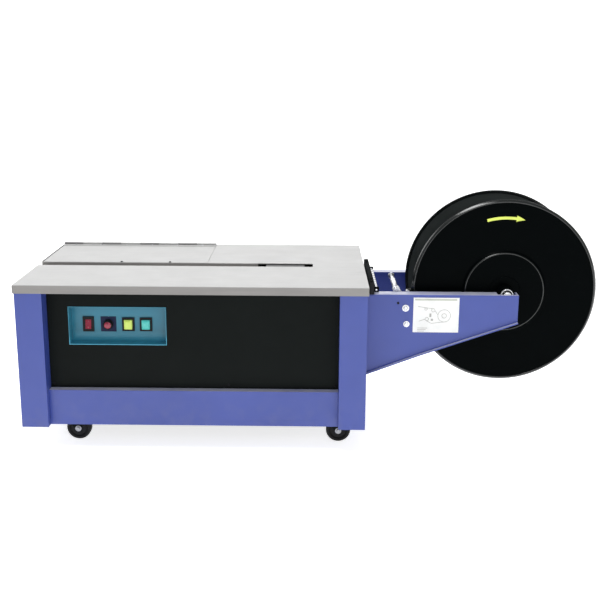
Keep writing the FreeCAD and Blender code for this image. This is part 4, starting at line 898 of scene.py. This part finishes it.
def make_pedal(corner, x, y, z, body):
    """A brake pedal over the back of the wheel, hinged between the fork's legs."""
    pedal = bmesh.new()
    profile = rounded([(-0.004, 0.0355), (0.006, 0.0372), (0.020, 0.0300), (0.028, 0.0215), (0.031, 0.0222),
                       (0.0225, 0.0328), (0.008, 0.0405), (-0.004, 0.0400)], 0.002)
    half, hinge_x = 0.0105, x + 0.004
    rings = [[pedal.verts.new((hinge_x + px, side, z + pz)) for px, pz in profile]
             for side in (y - half, y + half)]
    count = len(profile)
    for index in range(count):
        following = (index + 1) % count
        pedal.faces.new((rings[0][index], rings[0][following], rings[1][following], rings[1][index]))
    pedal.faces.new(rings[0])
    pedal.faces.new(rings[1])
    finish_mesh(f"brake_pedal_{corner}", pedal, "matte_black", body, bevel=0.0008)


# ---------------------------------------------------------------- fine pieces: inside the cabinet

def make_drive_details():
    """Motor ribs and fan cowl, the reducer's covers, and the bolts inside the cabinet."""
    low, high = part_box("drive_motor")
    _, y, z = middle_of("motor_pulley")
    length = high[0] - low[0]
    ribs = bmesh.new()
    add_lathe(ribs, [(0.0600, 0.030), (0.0625, 0.031), (0.0632, 0.034), (0.0632, length - 0.052),
                     (0.0625, length - 0.050), (0.0600, length - 0.049)], (low[0], y, z), "X", 216,
              ribbed(0.060, 0.0012, 36))
    finish_mesh("motor_ribs", ribs, "motor_paint", "frame")
    cowl = bmesh.new()
    add_lathe(cowl, [(0.0590, length - 0.045), (0.0640, length - 0.045), (0.0650, length - 0.042),
                     (0.0650, length - 0.004), (0.0630, length + 0.0006), (0.050, length + 0.0018),
                     (0.018, length + 0.0022), (0.018, length + 0.0004), (0.0590, length - 0.001)],
              (low[0], y, z), "X", 96)
    for radius in (0.024, 0.030, 0.036, 0.042):
        add_ring(cowl, (low[0] + length + 0.0016, y, z), "X", radius, 0.0010, 72, 8)
    finish_mesh("motor_fan_cowl", cowl, "motor_paint", "frame")
    case_low, case_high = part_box("gear_reducer")
    _, shaft_y, level = middle_of("reducer_pulley")
    covers = bmesh.new()
    for x, way in ((case_low[0], -1), (case_high[0], 1)):
        add_lathe(covers, [(0.0125, 0), (0.034, 0), (0.034, 0.0003 * way), (0.030, 0.00035 * way),
                           (0.0125, 0.00035 * way)], (x, shaft_y, level), "X", 64)
    finish_mesh("reducer_covers", covers, "cast_grey", "frame")
    bolts = bmesh.new()
    for dx in (0.014, 0.073):
        for dy in (-0.040, 0.040):
            add_bolt(bolts, (case_low[0] + dx, shaft_y + dy, case_high[2]), "Z", 0.0050, 0.0050)
    add_bolt(bolts, (case_low[0] + 0.0435, shaft_y, case_high[2]), "Z", 0.0085, 0.0080)
    box_low, box_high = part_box("electrical_box")
    for x in (box_low[0] + 0.010, box_high[0] - 0.010):
        for by in (box_low[1] + 0.010, box_high[1] - 0.010):
            add_screw(bolts, (x, by, box_high[2]), "Z", 0.0040)
    block_low, block_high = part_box("head_frame")
    ledge = 0.400
    for x in (block_low[0] + 0.022, block_low[0] + 0.088):
        for by in (block_low[1] + 0.007, block_high[1] - 0.007):
            add_bolt(bolts, (x, by, ledge), "Z", 0.0042, 0.0042)
    finish_mesh("drive_bolts", bolts, "zinc", "frame", bevel=0.0002)


def make_pulley_details():
    """Hubs of the pulleys and rollers, and beads round the large pulley's web."""
    for node, body in (("reducer_pulley", "large_pulley"), ("motor_pulley", "small_pulley")):
        low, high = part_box(node)
        x, y, z = low[0], (low[1] + high[1]) / 2, (low[2] + high[2]) / 2
        rim = (high[1] - low[1]) / 2
        hub = bmesh.new()
        add_lathe(hub, [(0.004, 0), (0.015, 0), (0.015, -0.0035), (0.0125, -0.0045), (0.004, -0.0045)],
                  (x, y, z), "X", 48)
        for spoke in range(4 if rim > 0.04 else 0):
            angle = math.pi / 4 + math.pi / 2 * spoke
            spot = (x, y + 0.036 * math.cos(angle), z + 0.036 * math.sin(angle))
            add_ring(hub, spot, "X", 0.0100, 0.0008, 40, 8)
        finish_mesh(f"{node}_hub", hub, "machined_steel", body)
    for node, body, finish in (("feed_roller", "feed_roll", "machined_steel"),
                               ("pressure_roller", "pressure_roll", "rubber")):
        low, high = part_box(node)
        radius = (high[0] - low[0]) / 2
        x, z = (low[0] + high[0]) / 2, (low[2] + high[2]) / 2
        hub = bmesh.new()
        add_lathe(hub, [(0.003, 0), (radius * 0.5, 0), (radius * 0.5, -0.0012), (radius * 0.36, -0.0030),
                        (0.003, -0.0030)], (x, low[1], z), "Y", 48)
        finish_mesh(f"{node}_hub", hub, "machined_steel", body)


def make_head_details():
    """The heater's element, and the teeth on the grippers and the press head."""
    low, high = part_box("heater_arm")
    blade = bmesh.new()
    add_block(blade, (low[0] + 0.004, low[1] + 0.004, high[2] - 0.0022),
              (low[0] + 0.026, high[1] - 0.004, high[2]))
    finish_mesh("heater_element", blade, "cast_grey", "heater", bevel=0.0003)
    rows = 7
    for label, body in (("left_gripper", "left_grip"), ("right_gripper", "right_grip"),
                        ("press_head", "press")):
        low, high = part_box(label)
        teeth = bmesh.new()
        for row in range(rows):
            y = low[1] + 0.003 + row * (high[1] - low[1] - 0.006) / (rows - 1)
            add_tube(teeth, [(low[0] + 0.0012, y, high[2]), (high[0] - 0.0012, y, high[2])], 0.0006, 6)
        finish_mesh(f"{label}_teeth", teeth, "machined_steel", body)


# ---------------------------------------------------------------- camera, light and floor

def make_camera():
    """A long view from slightly above the table, looking along +Y."""
    camera = bpy.data.objects.new("camera", bpy.data.cameras.new("camera"))
    bpy.context.scene.collection.objects.link(camera)
    camera.data.lens = 59.12
    camera.data.sensor_width = 36
    camera.data.clip_end = 100
    pitch, heading, roll = 0.2442, 0.0114, 0.0053
    turn = (Matrix.Rotation(heading, 4, "Z") @ Matrix.Rotation(math.pi / 2 - pitch, 4, "X")
            @ Matrix.Rotation(roll, 4, "Z"))
    camera.matrix_world = Matrix.Translation((-0.0036, -2.6717, 1.0081)) @ turn
    bpy.context.scene.camera = camera


def add_area(name, place, target, size, energy):
    """A rectangular light that points from its place at a target."""
    light = bpy.data.objects.new(name, bpy.data.lights.new(name, "AREA"))
    bpy.context.scene.collection.objects.link(light)
    light.data.shape = "RECTANGLE"
    light.data.size, light.data.size_y = size
    light.data.energy = energy
    light.location = place
    light.rotation_euler = (Vector(target) - Vector(place)).to_track_quat("-Z", "Y").to_euler()


def make_studio():
    """A pale floor that curves up into a backdrop, a broad top light and weak fills."""
    mesh = bmesh.new()
    half, near, depth, rise, bend = 14, -9, 7, 6, 2.0
    outline = [(near, 0), (depth - bend, 0)]
    outline += [(depth - bend + bend * math.sin(a), bend - bend * math.cos(a))
                for a in (math.pi / 2 * step / 12 for step in range(1, 13))]
    outline.append((depth, rise))
    rows = [[mesh.verts.new((x, y, z - 0.0005)) for y, z in outline] for x in (-half, half)]
    for index in range(len(outline) - 1):
        mesh.faces.new((rows[0][index], rows[1][index], rows[1][index + 1], rows[0][index + 1]))
    data = bpy.data.meshes.new("studio_floor")
    mesh.to_mesh(data)
    mesh.free()
    pale = Shader("studio_pale", (0.93, 0.93, 0.93), 0.9, specular=0.1)
    pale.paint(pale.vary_colour(pale.noise(2, detail=2), 0.01))
    pale.set("Emission Color", (1, 1, 1, 1))
    pale.set("Emission Strength", 0.75)
    data.materials.append(pale.material)
    floor = bpy.data.objects.new("studio_floor", data)
    bpy.context.scene.collection.objects.link(floor)
    world = bpy.data.worlds.new("studio")
    bpy.context.scene.world = world
    world.use_nodes = True
    background = world.node_tree.nodes["Background"]
    background.inputs["Color"].default_value = (1, 1, 1, 1)
    background.inputs["Strength"].default_value = 0.30
    add_area("top_light", (-0.35, -0.1, 3.2), (0, 0.0, 0.4), (2.4, 1.0), 74)
    add_area("front_fill", (0.9, -3.6, 1.9), (0.2, 0, 0.3), (2.2, 1.6), 24)
    add_area("left_rim", (-2.8, 1.4, 2.0), (0.4, 0, 0.5), (1.4, 1.6), 22)


bpy.context.scene.view_settings.view_transform = "Standard"
make_camera()
make_studio()
dress_cad_nodes()
make_reel_details()
make_axle_details()
make_arm_bolts()
make_label()
make_brake_details()
make_inlet_details()
make_knob_details()
make_switch_details()
make_cabinet_screws()
make_dust_seal()
make_table_details()
make_gland_details()
make_caster_details()
make_drive_details()
make_pulley_details()
make_head_details()
